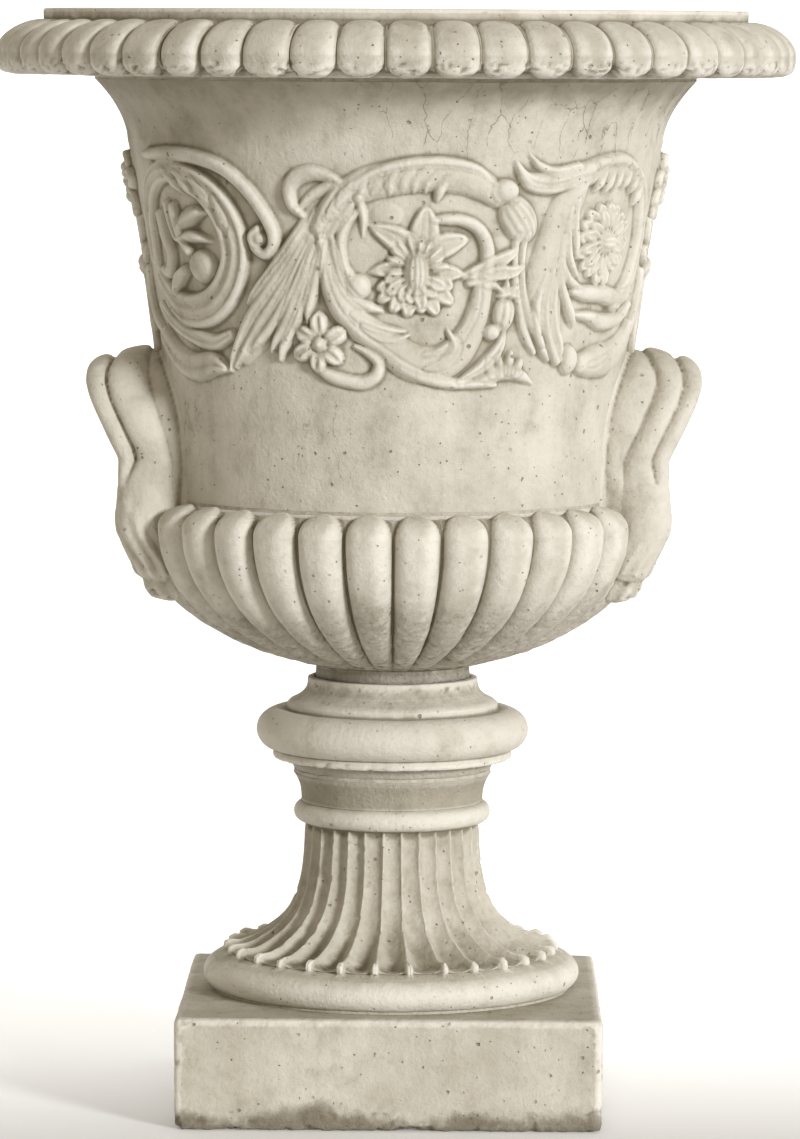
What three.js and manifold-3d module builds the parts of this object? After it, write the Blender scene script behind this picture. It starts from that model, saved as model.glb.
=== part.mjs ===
// A garden urn of cast stone on a square plinth. Turned sections stand on mortar beds and are
// drawn together by a drain tube with a nut at each end. Two looped handles are dowelled to the
// bowl and the body, and moulded scrolls and rosettes are set on the bell.
// Millimetres, +Z up, origin at the centre of the plinth's underside, front towards -Y.

import * as THREE from "three";
import { mergeVertices } from "three/addons/utils/BufferGeometryUtils.js";
import Module from "manifold-3d";

const wasm = await Module();
wasm.setup();

// Driving dimensions: heights of the stacked sections
const PLINTH_HEIGHT = 91;
const PEDESTAL_HEIGHT = 177;
const KNOP_HEIGHT = 73;
const BOWL_HEIGHT = 148;
const BODY_HEIGHT = 342;
const RIM_HEIGHT = 54;
const BED = 3;
const SEAT = 0.3;

// Plinth
const PLINTH_SIDE = 345;
const PLINTH_EDGE = 7;
const RECESS_RADIUS = 58;
const RECESS_DEPTH = 32;

// Pedestal
const FOOT_RADIUS = 156;
const FOOT_CONTACT_RADIUS = 148;
const FOOT_HEIGHT = 27;
const RIB_FOOT_RADIUS = 131;
const RIB_FOOT_HEIGHT = 8;
const WAIST_RADIUS = 72.3;
const STEM_HEIGHT = 93;
const STEM_FLARE = 3.6;
const RIBS = 30;
const RIB_DEPTH = 4;
const RIB_TURN = 6.9;
const ASTRAGAL_RADIUS = 82;
const ASTRAGAL_HEIGHT = 18;
const PEDESTAL_TOP_RADIUS = 80.5;

// Knop
const KNOP_FILLET_RADIUS = 94.6;
const KNOP_FILLET_HEIGHT = 10;
const KNOP_RADIUS = 112.5;
const KNOP_TORUS_HEIGHT = 39;
const CAP_FILLET_RADIUS = 87;
const CAP_FILLET_HEIGHT = 5;
const CAP_TOP_RADIUS = 70.4;
const CAP_CURVE = 1.6;

// Bowl
const BOWL_NECK_RADIUS = 63.8;
const BOWL_NECK_HEIGHT = 11;
const BOWL_RADIUS = 213;
const BOWL_SHOULDER = 18;
const LOBES = 32;
const LOBE_DEPTH = 8;
const BOWL_FLOOR = 42;
const FLOOR_RADIUS = 62;

// Bell body
const BELL_FOOT_RADIUS = 184;
const BELL_NECK_RADIUS = 220;
const BELL_TOP_RADIUS = 247;
const BELL_CURVE = 1.7;
const NECK_FLARE_HEIGHT = 49;
const NECK_FLARE_CURVE = 1.75;
const WALL = 25;

// Rim
const RIM_RADIUS = 328;
const RIM_UNDERSIDE_RADIUS = 300;
const LIP_RADIUS = 288.7;
const LIP_HEIGHT = 9;
const LIP_WIDTH = 27;
const RIM_LOBES = 54;
const RIM_LOBE_DEPTH = 8;
const RIM_LOBE_TURN = 5.2;

// Drain tube and its fixings
const TUBE_RADIUS = 21;
const TUBE_WALL = 3;
const BORE_RADIUS = 24;
const WASHER_RADIUS = 46;
const WASHER_THICKNESS = 5;
const NUT_RADIUS = 34;
const NUT_HEIGHT = 14;
const TUBE_GROUND_CLEARANCE = 7;

// Handles
const HANDLE_SPREAD = 55;
const HANDLE_RISE = 105;
const HANDLE_REACH = 42;
const HANDLE_WAIST_REACH = 15.5;
const HANDLE_WAIST_RISE = 24;
const REED_CREST = 20;
const TERMINAL_WIDTH = 66;
const TERMINAL_RISE = 20;
const TERMINAL_DROP = 84;
const TERMINAL_PROUD = 18.5;
const DOWEL_RADIUS = 6;
const DOWEL_LENGTH = 54;
const DOWEL_OFFSET = 2;
const UPPER_DOWEL_RISE = 19;
const LOWER_DOWEL_DROP = 43;

// Frieze
const FRIEZE_ANGLES = [-54, 3.5, 53];
const FRIEZE_HEIGHTS = [718, 697, 718];
const SCROLL_OUTER = 86;
const SCROLL_INNER = 44;
const SCROLL_TURN = 405;
const SCROLL_START = 225;
const SCROLL_WIDTH = 17;
const SCROLL_RELIEF = 8;
const SCROLL_STEPS = 22;
const SCROLL_SEAT = 0.85;
const ROSETTE_RADIUS = 31;
const ROSETTE_RELIEF = 11;
const ROSETTE_PETALS = 8;

// Facet counts
const TURNED_SIDES = 64;
const INNER_SIDES = 36;
const PEDESTAL_SIDES = 48;
const BED_SIDES = 32;
const BORE_SIDES = 16;
const SIDES_PER_LOBE = 3;
const DOWEL_SIDES = 12;

// Levels of the joints, worked out from the stack
const pedestalBase = PLINTH_HEIGHT + BED;
const knopBase = pedestalBase + PEDESTAL_HEIGHT + BED;
const bowlBase = knopBase + KNOP_HEIGHT + BED;
const bodyBase = bowlBase + BOWL_HEIGHT + BED;
const rimBase = bodyBase + BODY_HEIGHT + BED;

const castStone = { color: 0xcabfa6, roughness: 0.92, metalness: 0 };
const mortar = { color: 0xa89d85, roughness: 0.96, metalness: 0 };
const galvanised = { color: 0x9a9c9b, roughness: 0.5, metalness: 0.9 };
const stainless = { color: 0xb9bbbb, roughness: 0.35, metalness: 1 };

const group = new THREE.Group();

function addMesh(name, geometry, finish, parent = group) {
  const mesh = new THREE.Mesh(geometry, new THREE.MeshStandardMaterial(finish));
  mesh.name = name;
  parent.add(mesh);
  return mesh;
}

// Booleans work on solids whose shared corners are merged
function toSolid(geometry) {
  const bare = geometry.clone();
  bare.deleteAttribute("normal");
  bare.deleteAttribute("uv");
  const merged = mergeVertices(bare, 1e-3);
  const triVerts = new Uint32Array(merged.index.array);
  const mesh = new wasm.Mesh({
    numProp: 3,
    vertProperties: new Float32Array(merged.attributes.position.array),
    triVerts,
  });
  const solid = new wasm.Manifold(mesh);
  if (solid.volume() > 0) return solid;
  for (let i = 0; i < triVerts.length; i += 3) triVerts.subarray(i, i + 2).reverse();
  return new wasm.Manifold(
    new wasm.Mesh({ numProp: 3, vertProperties: mesh.vertProperties, triVerts }),
  );
}

function toGeometry(solid) {
  const mesh = solid.getMesh();
  const positions = new Float32Array(mesh.numVert * 3);
  for (let i = 0; i < mesh.numVert; i++) {
    const start = i * mesh.numProp;
    positions.set(mesh.vertProperties.subarray(start, start + 3), i * 3);
  }
  const geometry = new THREE.BufferGeometry();
  geometry.setAttribute("position", new THREE.BufferAttribute(positions, 3));
  geometry.setIndex(new THREE.BufferAttribute(mesh.triVerts, 1));
  return geometry;
}

const cut = (geometry, ...tools) =>
  toGeometry(tools.reduce((solid, tool) => solid.subtract(toSolid(tool)), toSolid(geometry)));

function fromPoints(points, faces) {
  const geometry = new THREE.BufferGeometry();
  geometry.setAttribute("position", new THREE.Float32BufferAttribute(points.flat(), 3));
  geometry.setIndex(faces.flat());
  return geometry;
}

// Joins two rings of points that may differ in number, going round both together
function zipRings(faces, startA, countA, startB, countB) {
  let a = 0;
  let b = 0;
  while (a < countA || b < countB) {
    const cornerA = startA + (a % countA);
    const cornerB = startB + (b % countB);
    if (b >= countB || (a < countA && (a + 1) / countA <= (b + 1) / countB)) {
      faces.push([cornerA, startA + ((a + 1) % countA), cornerB]);
      a += 1;
    } else {
      faces.push([cornerA, startB + ((b + 1) % countB), cornerB]);
      b += 1;
    }
  }
}

// A ring-shaped solid whose rows run up the outside and down the inside. Each row gives its
// radius, height, number of sides and the depth of the grooves between its lobes.
function turned(rows, lobes = 1, turn = 0) {
  const points = [];
  const faces = [];
  const starts = rows.map(([radius, z, sides, depth = 0]) => {
    const start = points.length;
    for (let i = 0; i < sides; i++) {
      const share = i / sides;
      const across = 2 * ((share * lobes) % 1) - 1;
      const reach = radius - depth * (1 - Math.sqrt(1 - across * across));
      const angle = turn + 2 * Math.PI * share;
      points.push([reach * Math.cos(angle), reach * Math.sin(angle), z]);
    }
    return start;
  });
  rows.forEach((row, k) => {
    const next = (k + 1) % rows.length;
    zipRings(faces, starts[k], row[2], starts[next], rows[next][2]);
  });
  return fromPoints(points, faces);
}

// Points of an elliptical arc in a section, angles in degrees from the radial direction
function arcRows(centreRadius, centreZ, reach, rise, from, to, steps, sides) {
  return Array.from({ length: steps + 1 }, (_, i) => {
    const angle = THREE.MathUtils.degToRad(from + ((to - from) * i) / steps);
    return [centreRadius + reach * Math.cos(angle), centreZ + rise * Math.sin(angle), sides];
  });
}

function plainRing(outer, inner, low, high, outerSides, innerSides = BORE_SIDES) {
  return turned([
    [outer, low, outerSides],
    [outer, high, outerSides],
    [inner, high, innerSides],
    [inner, low, innerSides],
  ]);
}

// The rings of mortar lie a hair clear of the stone above and below
function bed(name, level, outer, inner) {
  const ring = plainRing(outer, inner, level + SEAT, level + BED - SEAT, BED_SIDES, BED_SIDES);
  addMesh(name, ring, mortar);
}

function plinth() {
  const half = PLINTH_SIDE / 2 - PLINTH_EDGE;
  const outline = new THREE.Shape();
  outline.moveTo(-half, -half);
  outline.lineTo(half, -half);
  outline.lineTo(half, half);
  outline.lineTo(-half, half);
  outline.closePath();
  const block = new THREE.ExtrudeGeometry(outline, {
    depth: PLINTH_HEIGHT - 2 * PLINTH_EDGE,
    bevelThickness: PLINTH_EDGE,
    bevelSize: PLINTH_EDGE,
    bevelSegments: 3,
    curveSegments: 1,
  });
  block.translate(0, 0, PLINTH_EDGE);
  const bore = new THREE.CylinderGeometry(BORE_RADIUS, BORE_RADIUS, 3 * PLINTH_HEIGHT, BORE_SIDES);
  bore.rotateX(Math.PI / 2);
  const recess = new THREE.CylinderGeometry(
    RECESS_RADIUS, RECESS_RADIUS, 2 * RECESS_DEPTH, INNER_SIDES,
  );
  recess.rotateX(Math.PI / 2);
  addMesh("plinth", cut(block, bore, recess), castStone);
}

const stemRadius = (share) =>
  WAIST_RADIUS + (RIB_FOOT_RADIUS - WAIST_RADIUS) * (1 - share) ** STEM_FLARE;

// Foot moulding, ribbed stem, astragal and hollow neck are one casting
function pedestal() {
  const base = pedestalBase;
  const top = base + PEDESTAL_HEIGHT;
  const ribSides = RIBS * SIDES_PER_LOBE;
  const footRise = FOOT_HEIGHT - FOOT_HEIGHT / 3;
  const foot = arcRows(
    RIB_FOOT_RADIUS, base + FOOT_HEIGHT / 3, FOOT_RADIUS - RIB_FOOT_RADIUS, footRise,
    0, 84, 3, PEDESTAL_SIDES,
  );
  const ribFoot = base + FOOT_HEIGHT + RIB_FOOT_HEIGHT;
  const waist = ribFoot + STEM_HEIGHT;
  const stem = [1, 0.86, 0.72, 0.56, 0.36, 0].map((share) => [
    stemRadius(1 - share), waist - share * STEM_HEIGHT, ribSides, RIB_DEPTH * (0.7 + share),
  ]);
  const astragal = arcRows(
    WAIST_RADIUS, waist + ASTRAGAL_HEIGHT / 2 + 6, ASTRAGAL_RADIUS - WAIST_RADIUS,
    ASTRAGAL_HEIGHT / 2, -80, 80, 4, PEDESTAL_SIDES,
  );
  const rows = [
    [FOOT_CONTACT_RADIUS, base, PEDESTAL_SIDES],
    ...foot,
    [RIB_FOOT_RADIUS, base + FOOT_HEIGHT, ribSides, 2 * RIB_DEPTH],
    ...stem,
    ...astragal,
    [PEDESTAL_TOP_RADIUS - 5, top - 15, PEDESTAL_SIDES],
    [PEDESTAL_TOP_RADIUS, top, PEDESTAL_SIDES],
    [BORE_RADIUS, top, BORE_SIDES],
    [BORE_RADIUS, base, BORE_SIDES],
  ];
  addMesh("pedestal", turned(rows, RIBS, THREE.MathUtils.degToRad(RIB_TURN)), castStone);
}

function knop() {
  const base = knopBase;
  const top = base + KNOP_HEIGHT;
  const torusBase = base + KNOP_FILLET_HEIGHT;
  const torusReach = KNOP_TORUS_HEIGHT / 2;
  const capBase = torusBase + KNOP_TORUS_HEIGHT + CAP_FILLET_HEIGHT;
  const torus = arcRows(
    KNOP_RADIUS - torusReach, torusBase + torusReach, torusReach, torusReach,
    -82, 82, 7, PEDESTAL_SIDES,
  );
  const cap = [0, 0.3, 0.6, 1].map((share) => [
    CAP_TOP_RADIUS + (CAP_FILLET_RADIUS - CAP_TOP_RADIUS) * (1 - share) ** CAP_CURVE,
    capBase + share * (top - capBase), PEDESTAL_SIDES,
  ]);
  const rows = [
    [KNOP_FILLET_RADIUS, base, PEDESTAL_SIDES],
    [KNOP_FILLET_RADIUS, torusBase - 0.5, PEDESTAL_SIDES],
    ...torus,
    [CAP_FILLET_RADIUS, torusBase + KNOP_TORUS_HEIGHT + 0.5, PEDESTAL_SIDES],
    ...cap,
    [BORE_RADIUS, top, BORE_SIDES],
    [BORE_RADIUS, base, BORE_SIDES],
  ];
  addMesh("knop", turned(rows), castStone);
}

// Outer rows of the gadrooned bowl, grown by a clearance for cutting what seats on it
function bowlOutside(clearance = 0) {
  const sides = LOBES * SIDES_PER_LOBE;
  const low = bowlBase + BOWL_NECK_HEIGHT;
  const widest = bowlBase + BOWL_HEIGHT - BOWL_SHOULDER;
  const flat = Math.sqrt(1 - (BOWL_NECK_RADIUS / BOWL_RADIUS) ** 2);
  const lower = [0, 0.08, 0.2, 0.36, 0.54, 0.76, 1].map((share) => {
    const down = (1 - share) * flat;
    const radius = BOWL_RADIUS * Math.sqrt(1 - down * down);
    const depth = LOBE_DEPTH * Math.sqrt(share);
    return [radius + clearance, low + share * (widest - low), sides, depth];
  });
  const shoulder = [0.55, 0.87].map((share) => [
    BELL_FOOT_RADIUS + (BOWL_RADIUS - BELL_FOOT_RADIUS) * Math.sqrt(1 - share * share) + clearance,
    widest + share * BOWL_SHOULDER, sides, LOBE_DEPTH,
  ]);
  const close = [BELL_FOOT_RADIUS + clearance, bowlBase + BOWL_HEIGHT, TURNED_SIDES];
  return [...lower, ...shoulder, close];
}

const bellInside = BELL_FOOT_RADIUS - WALL;

function bowl(holes) {
  const top = bowlBase + BOWL_HEIGHT;
  const floor = bowlBase + BOWL_FLOOR;
  const inside = [0, 0.2, 0.45, 0.7, 0.9, 1].map((share) => {
    const radius = FLOOR_RADIUS + (bellInside - FLOOR_RADIUS) * Math.sqrt(1 - share * share);
    return [radius, top - share * (top - floor), INNER_SIDES];
  });
  const rows = [
    [BOWL_NECK_RADIUS, bowlBase, PEDESTAL_SIDES],
    ...bowlOutside(),
    ...inside,
    [BORE_RADIUS, floor, BORE_SIDES],
    [BORE_RADIUS, bowlBase, BORE_SIDES],
  ];
  addMesh("gadrooned_bowl", cut(turned(rows, LOBES), ...holes), castStone);
}

const neckLevel = bodyBase + BODY_HEIGHT - NECK_FLARE_HEIGHT;

// Outer radius of the bell at a height
function wallRadius(z) {
  const rise = THREE.MathUtils.clamp((z - bodyBase) / (neckLevel - bodyBase), 0, 1);
  const flare = THREE.MathUtils.clamp((z - neckLevel) / NECK_FLARE_HEIGHT, 0, 1);
  return BELL_FOOT_RADIUS +
    (BELL_NECK_RADIUS - BELL_FOOT_RADIUS) * rise ** BELL_CURVE +
    (BELL_TOP_RADIUS - BELL_NECK_RADIUS) * flare ** NECK_FLARE_CURVE;
}

function bodyOutside(clearance = 0) {
  const bell = [0, 0.36, 0.52, 0.68, 0.84, 1].map(
    (share) => bodyBase + share * (neckLevel - bodyBase),
  );
  const flare = [0.3, 0.55, 0.78, 1].map((share) => neckLevel + share * NECK_FLARE_HEIGHT);
  return [...bell, ...flare].map((z) => [wallRadius(z) + clearance, z, TURNED_SIDES]);
}

function body(holes) {
  const inside = [1, 0.86, 0.6, 0.4, 0].map((share) => {
    const z = bodyBase + share * BODY_HEIGHT;
    return [wallRadius(z) - WALL, z, INNER_SIDES];
  });
  addMesh("bell_body", cut(turned([...bodyOutside(), ...inside]), ...holes), castStone);
}

// The overhanging ring of egg-shaped lobes with its flat lip
function rim() {
  const base = rimBase;
  const top = base + RIM_HEIGHT;
  const sides = RIM_LOBES * SIDES_PER_LOBE;
  const lobeTop = top - LIP_HEIGHT;
  const rise = lobeTop - base;
  const lobeRow = (angle, share) => {
    const turn = THREE.MathUtils.degToRad(angle);
    const reach = RIM_RADIUS - RIM_UNDERSIDE_RADIUS;
    const radius = angle < 0
      ? RIM_UNDERSIDE_RADIUS + reach * Math.cos(turn)
      : LIP_RADIUS + (RIM_RADIUS - LIP_RADIUS) * Math.cos(turn);
    return [radius, base + share * rise, sides, RIM_LOBE_DEPTH];
  };
  const rows = [
    [BELL_TOP_RADIUS, base, TURNED_SIDES],
    lobeRow(-89, 0.02),
    lobeRow(-35, 0.1),
    lobeRow(0, 0.36),
    lobeRow(25, 0.62),
    lobeRow(52, 0.84),
    lobeRow(82, 0.99),
    [LIP_RADIUS, lobeTop, TURNED_SIDES],
    [LIP_RADIUS, top, TURNED_SIDES],
    [LIP_RADIUS - LIP_WIDTH, top, INNER_SIDES],
    [LIP_RADIUS - LIP_WIDTH - 6, top - 7, INNER_SIDES],
    [BELL_TOP_RADIUS - WALL, base, INNER_SIDES],
  ];
  const turn = THREE.MathUtils.degToRad(RIM_LOBE_TURN - 90);
  addMesh("gadrooned_rim", turned(rows, RIM_LOBES, turn), castStone);
}

// Tube, washers and nuts share one set of facets, so they nest with an even clearance
function drainTube() {
  const bottom = TUBE_GROUND_CLEARANCE;
  const floor = bowlBase + BOWL_FLOOR;
  const lowerWasher = RECESS_DEPTH - SEAT - WASHER_THICKNESS;
  const lowerNut = lowerWasher - SEAT - NUT_HEIGHT;
  const upperNut = floor + 2 * SEAT + WASHER_THICKNESS;
  const top = upperNut + NUT_HEIGHT;
  const around = TUBE_RADIUS + SEAT;
  const tube = plainRing(TUBE_RADIUS, TUBE_RADIUS - TUBE_WALL, bottom, top, BORE_SIDES);
  addMesh("drain_tube", tube, galvanised);
  addMesh("lower_washer",
    plainRing(WASHER_RADIUS, around, lowerWasher, lowerWasher + WASHER_THICKNESS, BORE_SIDES),
    galvanised);
  addMesh("upper_washer",
    plainRing(WASHER_RADIUS, around, floor + SEAT, floor + SEAT + WASHER_THICKNESS, BORE_SIDES),
    galvanised);
  addMesh("lower_nut", plainRing(NUT_RADIUS, around, lowerNut, lowerNut + NUT_HEIGHT, 6), galvanised);
  addMesh("upper_nut", plainRing(NUT_RADIUS, around, upperNut, upperNut + NUT_HEIGHT, 6), galvanised);
}

// Outside of the bowl and body as one lump, grown by the seating clearance
function seatingLump() {
  const inner = BELL_FOOT_RADIUS / 2;
  return turned([
    [BOWL_NECK_RADIUS + inner, bowlBase, PEDESTAL_SIDES],
    ...bowlOutside(SEAT).slice(2),
    ...bodyOutside(SEAT),
    [inner, bodyBase + BODY_HEIGHT, INNER_SIDES],
    [inner, bowlBase, INNER_SIDES],
  ], LOBES);
}

// Closes a row of like rings of points into one solid with flat ends
function loft(rings) {
  const count = rings[0].length;
  const points = rings.flat();
  const faces = [];
  for (let k = 0; k + 1 < rings.length; k++) zipRings(faces, k * count, count, (k + 1) * count, count);
  const last = (rings.length - 1) * count;
  for (let i = 1; i + 1 < count; i++) {
    faces.push([0, i + 1, i]);
    faces.push([last, last + i, last + i + 1]);
  }
  return fromPoints(points, faces);
}

const jointLevel = bowlBase + BOWL_HEIGHT;

// Section of the handle's bar: three reeds on its outer side and a plain round inner side. Each
// corner gives how far it lies in from the bar's outermost line and its share of the crest.
const REEDS = [
  [0, -0.4], [2, 0.05], [10, 0.5], [17, 0.46], [21, 0.8], [30, 1], [39, 0.82], [43, 0.7], [52, 0.88],
];
const REED_BACK = [[24, -0.95], [7, -0.72]];

// How far the bar's outermost line stands out from the bowl at a height above the joint
function handleReach(rise) {
  const share = (rise - HANDLE_WAIST_RISE) / (HANDLE_RISE - HANDLE_WAIST_RISE);
  return HANDLE_WAIST_REACH + (HANDLE_REACH - HANDLE_WAIST_REACH) * Math.max(share, 0);
}

// The handle is an arch on two legs that stands against the wall and leans outwards
function handleLoop() {
  const straight = HANDLE_RISE - HANDLE_SPREAD;
  const stations = [];
  for (let i = 0; i <= 3; i++) stations.push([-HANDLE_SPREAD, (straight * i) / 3, Math.PI]);
  for (let i = 1; i < 8; i++) {
    const angle = Math.PI * (1 - i / 8);
    stations.push([
      HANDLE_SPREAD * Math.cos(angle), straight + HANDLE_SPREAD * Math.sin(angle), angle,
    ]);
  }
  for (let i = 3; i >= 0; i--) stations.push([HANDLE_SPREAD, (straight * i) / 3, 0]);
  const deepest = BELL_FOOT_RADIUS * 0.88;
  return loft(stations.map(([y, rise, angle]) => {
    const outermost = BOWL_RADIUS + handleReach(rise);
    const corners = [
      ...REEDS.map(([inset, lift]) => [outermost - inset, lift]),
      [deepest, 0.75],
      [deepest, -0.85],
      ...REED_BACK.map(([inset, lift]) => [outermost - inset, lift]),
    ];
    return corners.map(([x, lift]) => [
      x,
      y + lift * REED_CREST * Math.cos(angle),
      jointLevel + rise + lift * REED_CREST * Math.sin(angle),
    ]);
  }));
}

// A drooping leaf under each leg, thick at its shoulder and thin at its tip. Each station gives
// its share of the drop, how far it stands out and its share of the full width.
function handleTerminal(side) {
  const stations = [
    [1, -17, 0.5], [0.93, -8, 0.72], [0.76, 0.5, 0.86], [0.56, 10.7, 0.97],
    [0.36, TERMINAL_PROUD, 1], [0.12, TERMINAL_PROUD - 0.5, 0.94], [-0.1, TERMINAL_PROUD - 3, 0.8],
    [-TERMINAL_RISE / TERMINAL_DROP, TERMINAL_PROUD - 5, 0.62],
  ];
  const rings = stations.map(([drop, proud, share]) => {
    const z = jointLevel - drop * TERMINAL_DROP;
    const half = (share * TERMINAL_WIDTH) / 2;
    const front = BOWL_RADIUS + proud;
    const back = BELL_FOOT_RADIUS * 0.8;
    const centre = side * HANDLE_SPREAD;
    return [
      [back, centre - half, z],
      [front - 16, centre - half, z],
      [front - 4, centre - half * 0.72, z],
      [front, centre - half * 0.2, z],
      [front, centre + half * 0.2, z],
      [front - 4, centre + half * 0.72, z],
      [front - 16, centre + half, z],
      [back, centre + half, z],
    ];
  });
  return loft(rings);
}

const dowelCentre = BOWL_RADIUS + DOWEL_OFFSET - DOWEL_LENGTH / 2;
const dowelPlaces = [];
for (const side of [-1, 1]) {
  dowelPlaces.push({ side, place: "upper", z: jointLevel + UPPER_DOWEL_RISE });
  dowelPlaces.push({ side, place: "lower", z: jointLevel - LOWER_DOWEL_DROP });
}

function dowelShape({ side, z }, clearance = 0) {
  const radius = DOWEL_RADIUS + clearance;
  const pin = new THREE.CylinderGeometry(radius, radius, DOWEL_LENGTH + 2 * clearance, DOWEL_SIDES);
  pin.rotateZ(Math.PI / 2);
  pin.translate(dowelCentre, side * HANDLE_SPREAD, z);
  return pin;
}

function dowelHoles(place) {
  const chosen = dowelPlaces.filter((dowel) => dowel.place === place);
  return chosen.flatMap((dowel) => {
    const hole = dowelShape(dowel, SEAT);
    return [hole, hole.clone().rotateZ(Math.PI)];
  });
}

// One handle with its dowels, turned half round for the other side
function handle(name, turn, lump) {
  const side = new THREE.Group();
  side.rotation.z = turn;
  group.add(side);
  const whole = toSolid(handleLoop())
    .add(toSolid(handleTerminal(-1)))
    .add(toSolid(handleTerminal(1)))
    .subtract(lump);
  const holes = dowelPlaces.map((dowel) => dowelShape(dowel, SEAT));
  addMesh(name + "_handle", cut(toGeometry(whole), ...holes), castStone, side);
  for (const dowel of dowelPlaces) {
    const end = dowel.side * Math.cos(turn) < 0 ? "front" : "rear";
    addMesh(`${name}_handle_${end}_${dowel.place}_dowel`, dowelShape(dowel), stainless, side);
  }
}

function onWall(angle, z, proud) {
  const radius = wallRadius(z) + proud;
  return [radius * Math.sin(angle), -radius * Math.cos(angle), z];
}

// A curling band that starts at the join with its neighbour and winds round its rosette
function scrollBand(centreAngle, centreZ, upright) {
  const radius = wallRadius(centreZ);
  const flat = (share) => {
    const angle = THREE.MathUtils.degToRad(SCROLL_START - SCROLL_TURN * share);
    const reach = SCROLL_OUTER + (SCROLL_INNER - SCROLL_OUTER) * share;
    return new THREE.Vector2(reach * Math.cos(angle), reach * Math.sin(angle));
  };
  const rings = Array.from({ length: SCROLL_STEPS + 1 }, (_, i) => {
    const share = i / SCROLL_STEPS;
    const centre = flat(share);
    const along = flat(share + 0.01).sub(flat(share - 0.01)).normalize();
    const half = (SCROLL_WIDTH / 2) * (1 - 0.45 * share);
    const section = [[-1, 0], [-1, 0.4], [-0.4, 1], [0.4, 1], [1, 0.4], [1, 0]];
    const ring = section.map(([across, lift]) => {
      const u = centre.x - along.y * across * half;
      const v = (centre.y + along.x * across * half) * upright;
      const proud = SCROLL_SEAT + lift * SCROLL_RELIEF * (1 - 0.3 * share);
      return onWall(centreAngle + u / radius, centreZ + v, proud);
    });
    return upright > 0 ? ring.reverse() : ring;
  });
  return loft(rings);
}

// A domed flower with notched petals and a raised middle
function rosette(centreAngle, centreZ) {
  const radius = wallRadius(centreZ);
  const count = ROSETTE_PETALS * 2;
  const ringAt = (reach, proud, notch) => Array.from({ length: count }, (_, i) => {
    const angle = (2 * Math.PI * i) / count;
    const r = reach * (i % 2 ? 1 - notch : 1);
    return onWall(centreAngle + (r * Math.cos(angle)) / radius, centreZ + r * Math.sin(angle), proud);
  });
  return loft([
    ringAt(ROSETTE_RADIUS, -4, 0.25),
    ringAt(ROSETTE_RADIUS, ROSETTE_RELIEF * 0.45, 0.25),
    ringAt(ROSETTE_RADIUS * 0.55, ROSETTE_RELIEF * 0.6, 0.1),
    ringAt(ROSETTE_RADIUS * 0.4, ROSETTE_RELIEF, 0),
  ]);
}

function frieze(lump) {
  for (const [face, turn] of [["front", 0], ["rear", Math.PI]]) {
    FRIEZE_ANGLES.forEach((degrees, i) => {
      const angle = turn + THREE.MathUtils.degToRad(degrees);
      const z = FRIEZE_HEIGHTS[i];
      const place = `${face}_${["left", "middle", "right"][i]}`;
      addMesh(`${place}_scroll`, scrollBand(angle, z, i === 1 ? 1 : -1), castStone);
      const flower = toSolid(rosette(angle, z)).subtract(lump);
      addMesh(`${place}_rosette`, toGeometry(flower), castStone);
    });
  }
}

plinth();
bed("foot_bed", PLINTH_HEIGHT, FOOT_CONTACT_RADIUS - 4, BORE_RADIUS + 10);
pedestal();
bed("knop_bed", pedestalBase + PEDESTAL_HEIGHT, PEDESTAL_TOP_RADIUS - 3, BORE_RADIUS + 10);
knop();
bed("bowl_bed", knopBase + KNOP_HEIGHT, BOWL_NECK_RADIUS - 3, BORE_RADIUS + 10);
bowl(dowelHoles("lower"));
bed("body_bed", jointLevel, BELL_FOOT_RADIUS - 3, bellInside + 3);
body(dowelHoles("upper"));
bed("rim_bed", bodyBase + BODY_HEIGHT, BELL_TOP_RADIUS - 3, BELL_TOP_RADIUS - WALL + 3);
rim();
drainTube();
const lump = toSolid(seatingLump());
handle("right", 0, lump);
handle("left", Math.PI, lump);
frieze(lump);

export default group;
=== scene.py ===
import math

import bmesh
import bpy
import numpy as np
from mathutils import Matrix, Vector


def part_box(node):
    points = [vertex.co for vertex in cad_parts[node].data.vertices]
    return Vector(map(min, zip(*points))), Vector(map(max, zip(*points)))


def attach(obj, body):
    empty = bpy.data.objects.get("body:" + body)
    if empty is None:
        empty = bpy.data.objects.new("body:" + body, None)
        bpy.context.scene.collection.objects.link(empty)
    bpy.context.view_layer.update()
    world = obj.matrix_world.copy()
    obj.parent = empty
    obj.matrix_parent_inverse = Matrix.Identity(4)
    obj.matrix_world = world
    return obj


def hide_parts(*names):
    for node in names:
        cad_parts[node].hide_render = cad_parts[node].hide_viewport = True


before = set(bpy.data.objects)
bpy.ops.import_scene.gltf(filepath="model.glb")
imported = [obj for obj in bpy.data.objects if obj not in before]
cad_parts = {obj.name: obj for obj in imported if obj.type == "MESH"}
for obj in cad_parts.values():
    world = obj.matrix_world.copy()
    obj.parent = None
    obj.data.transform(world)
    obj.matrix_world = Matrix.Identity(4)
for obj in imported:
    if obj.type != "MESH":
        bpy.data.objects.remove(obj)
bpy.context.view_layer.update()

bl_info = {
    "name": "Cast Stone Urn",
    "version": (1, 0, 0),
    "blender": (4, 5, 0),
    "location": "View3D > Sidebar > Urn",
    "description": "Builds the weathered stone looks of a gadrooned garden urn round its packed frame",
    "category": "Add Mesh",
}

MM = 0.001


def level(node, top=False):
    """Height of a node's underside or top, in millimetres."""
    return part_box(node)[1 if top else 0].z / MM


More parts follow.
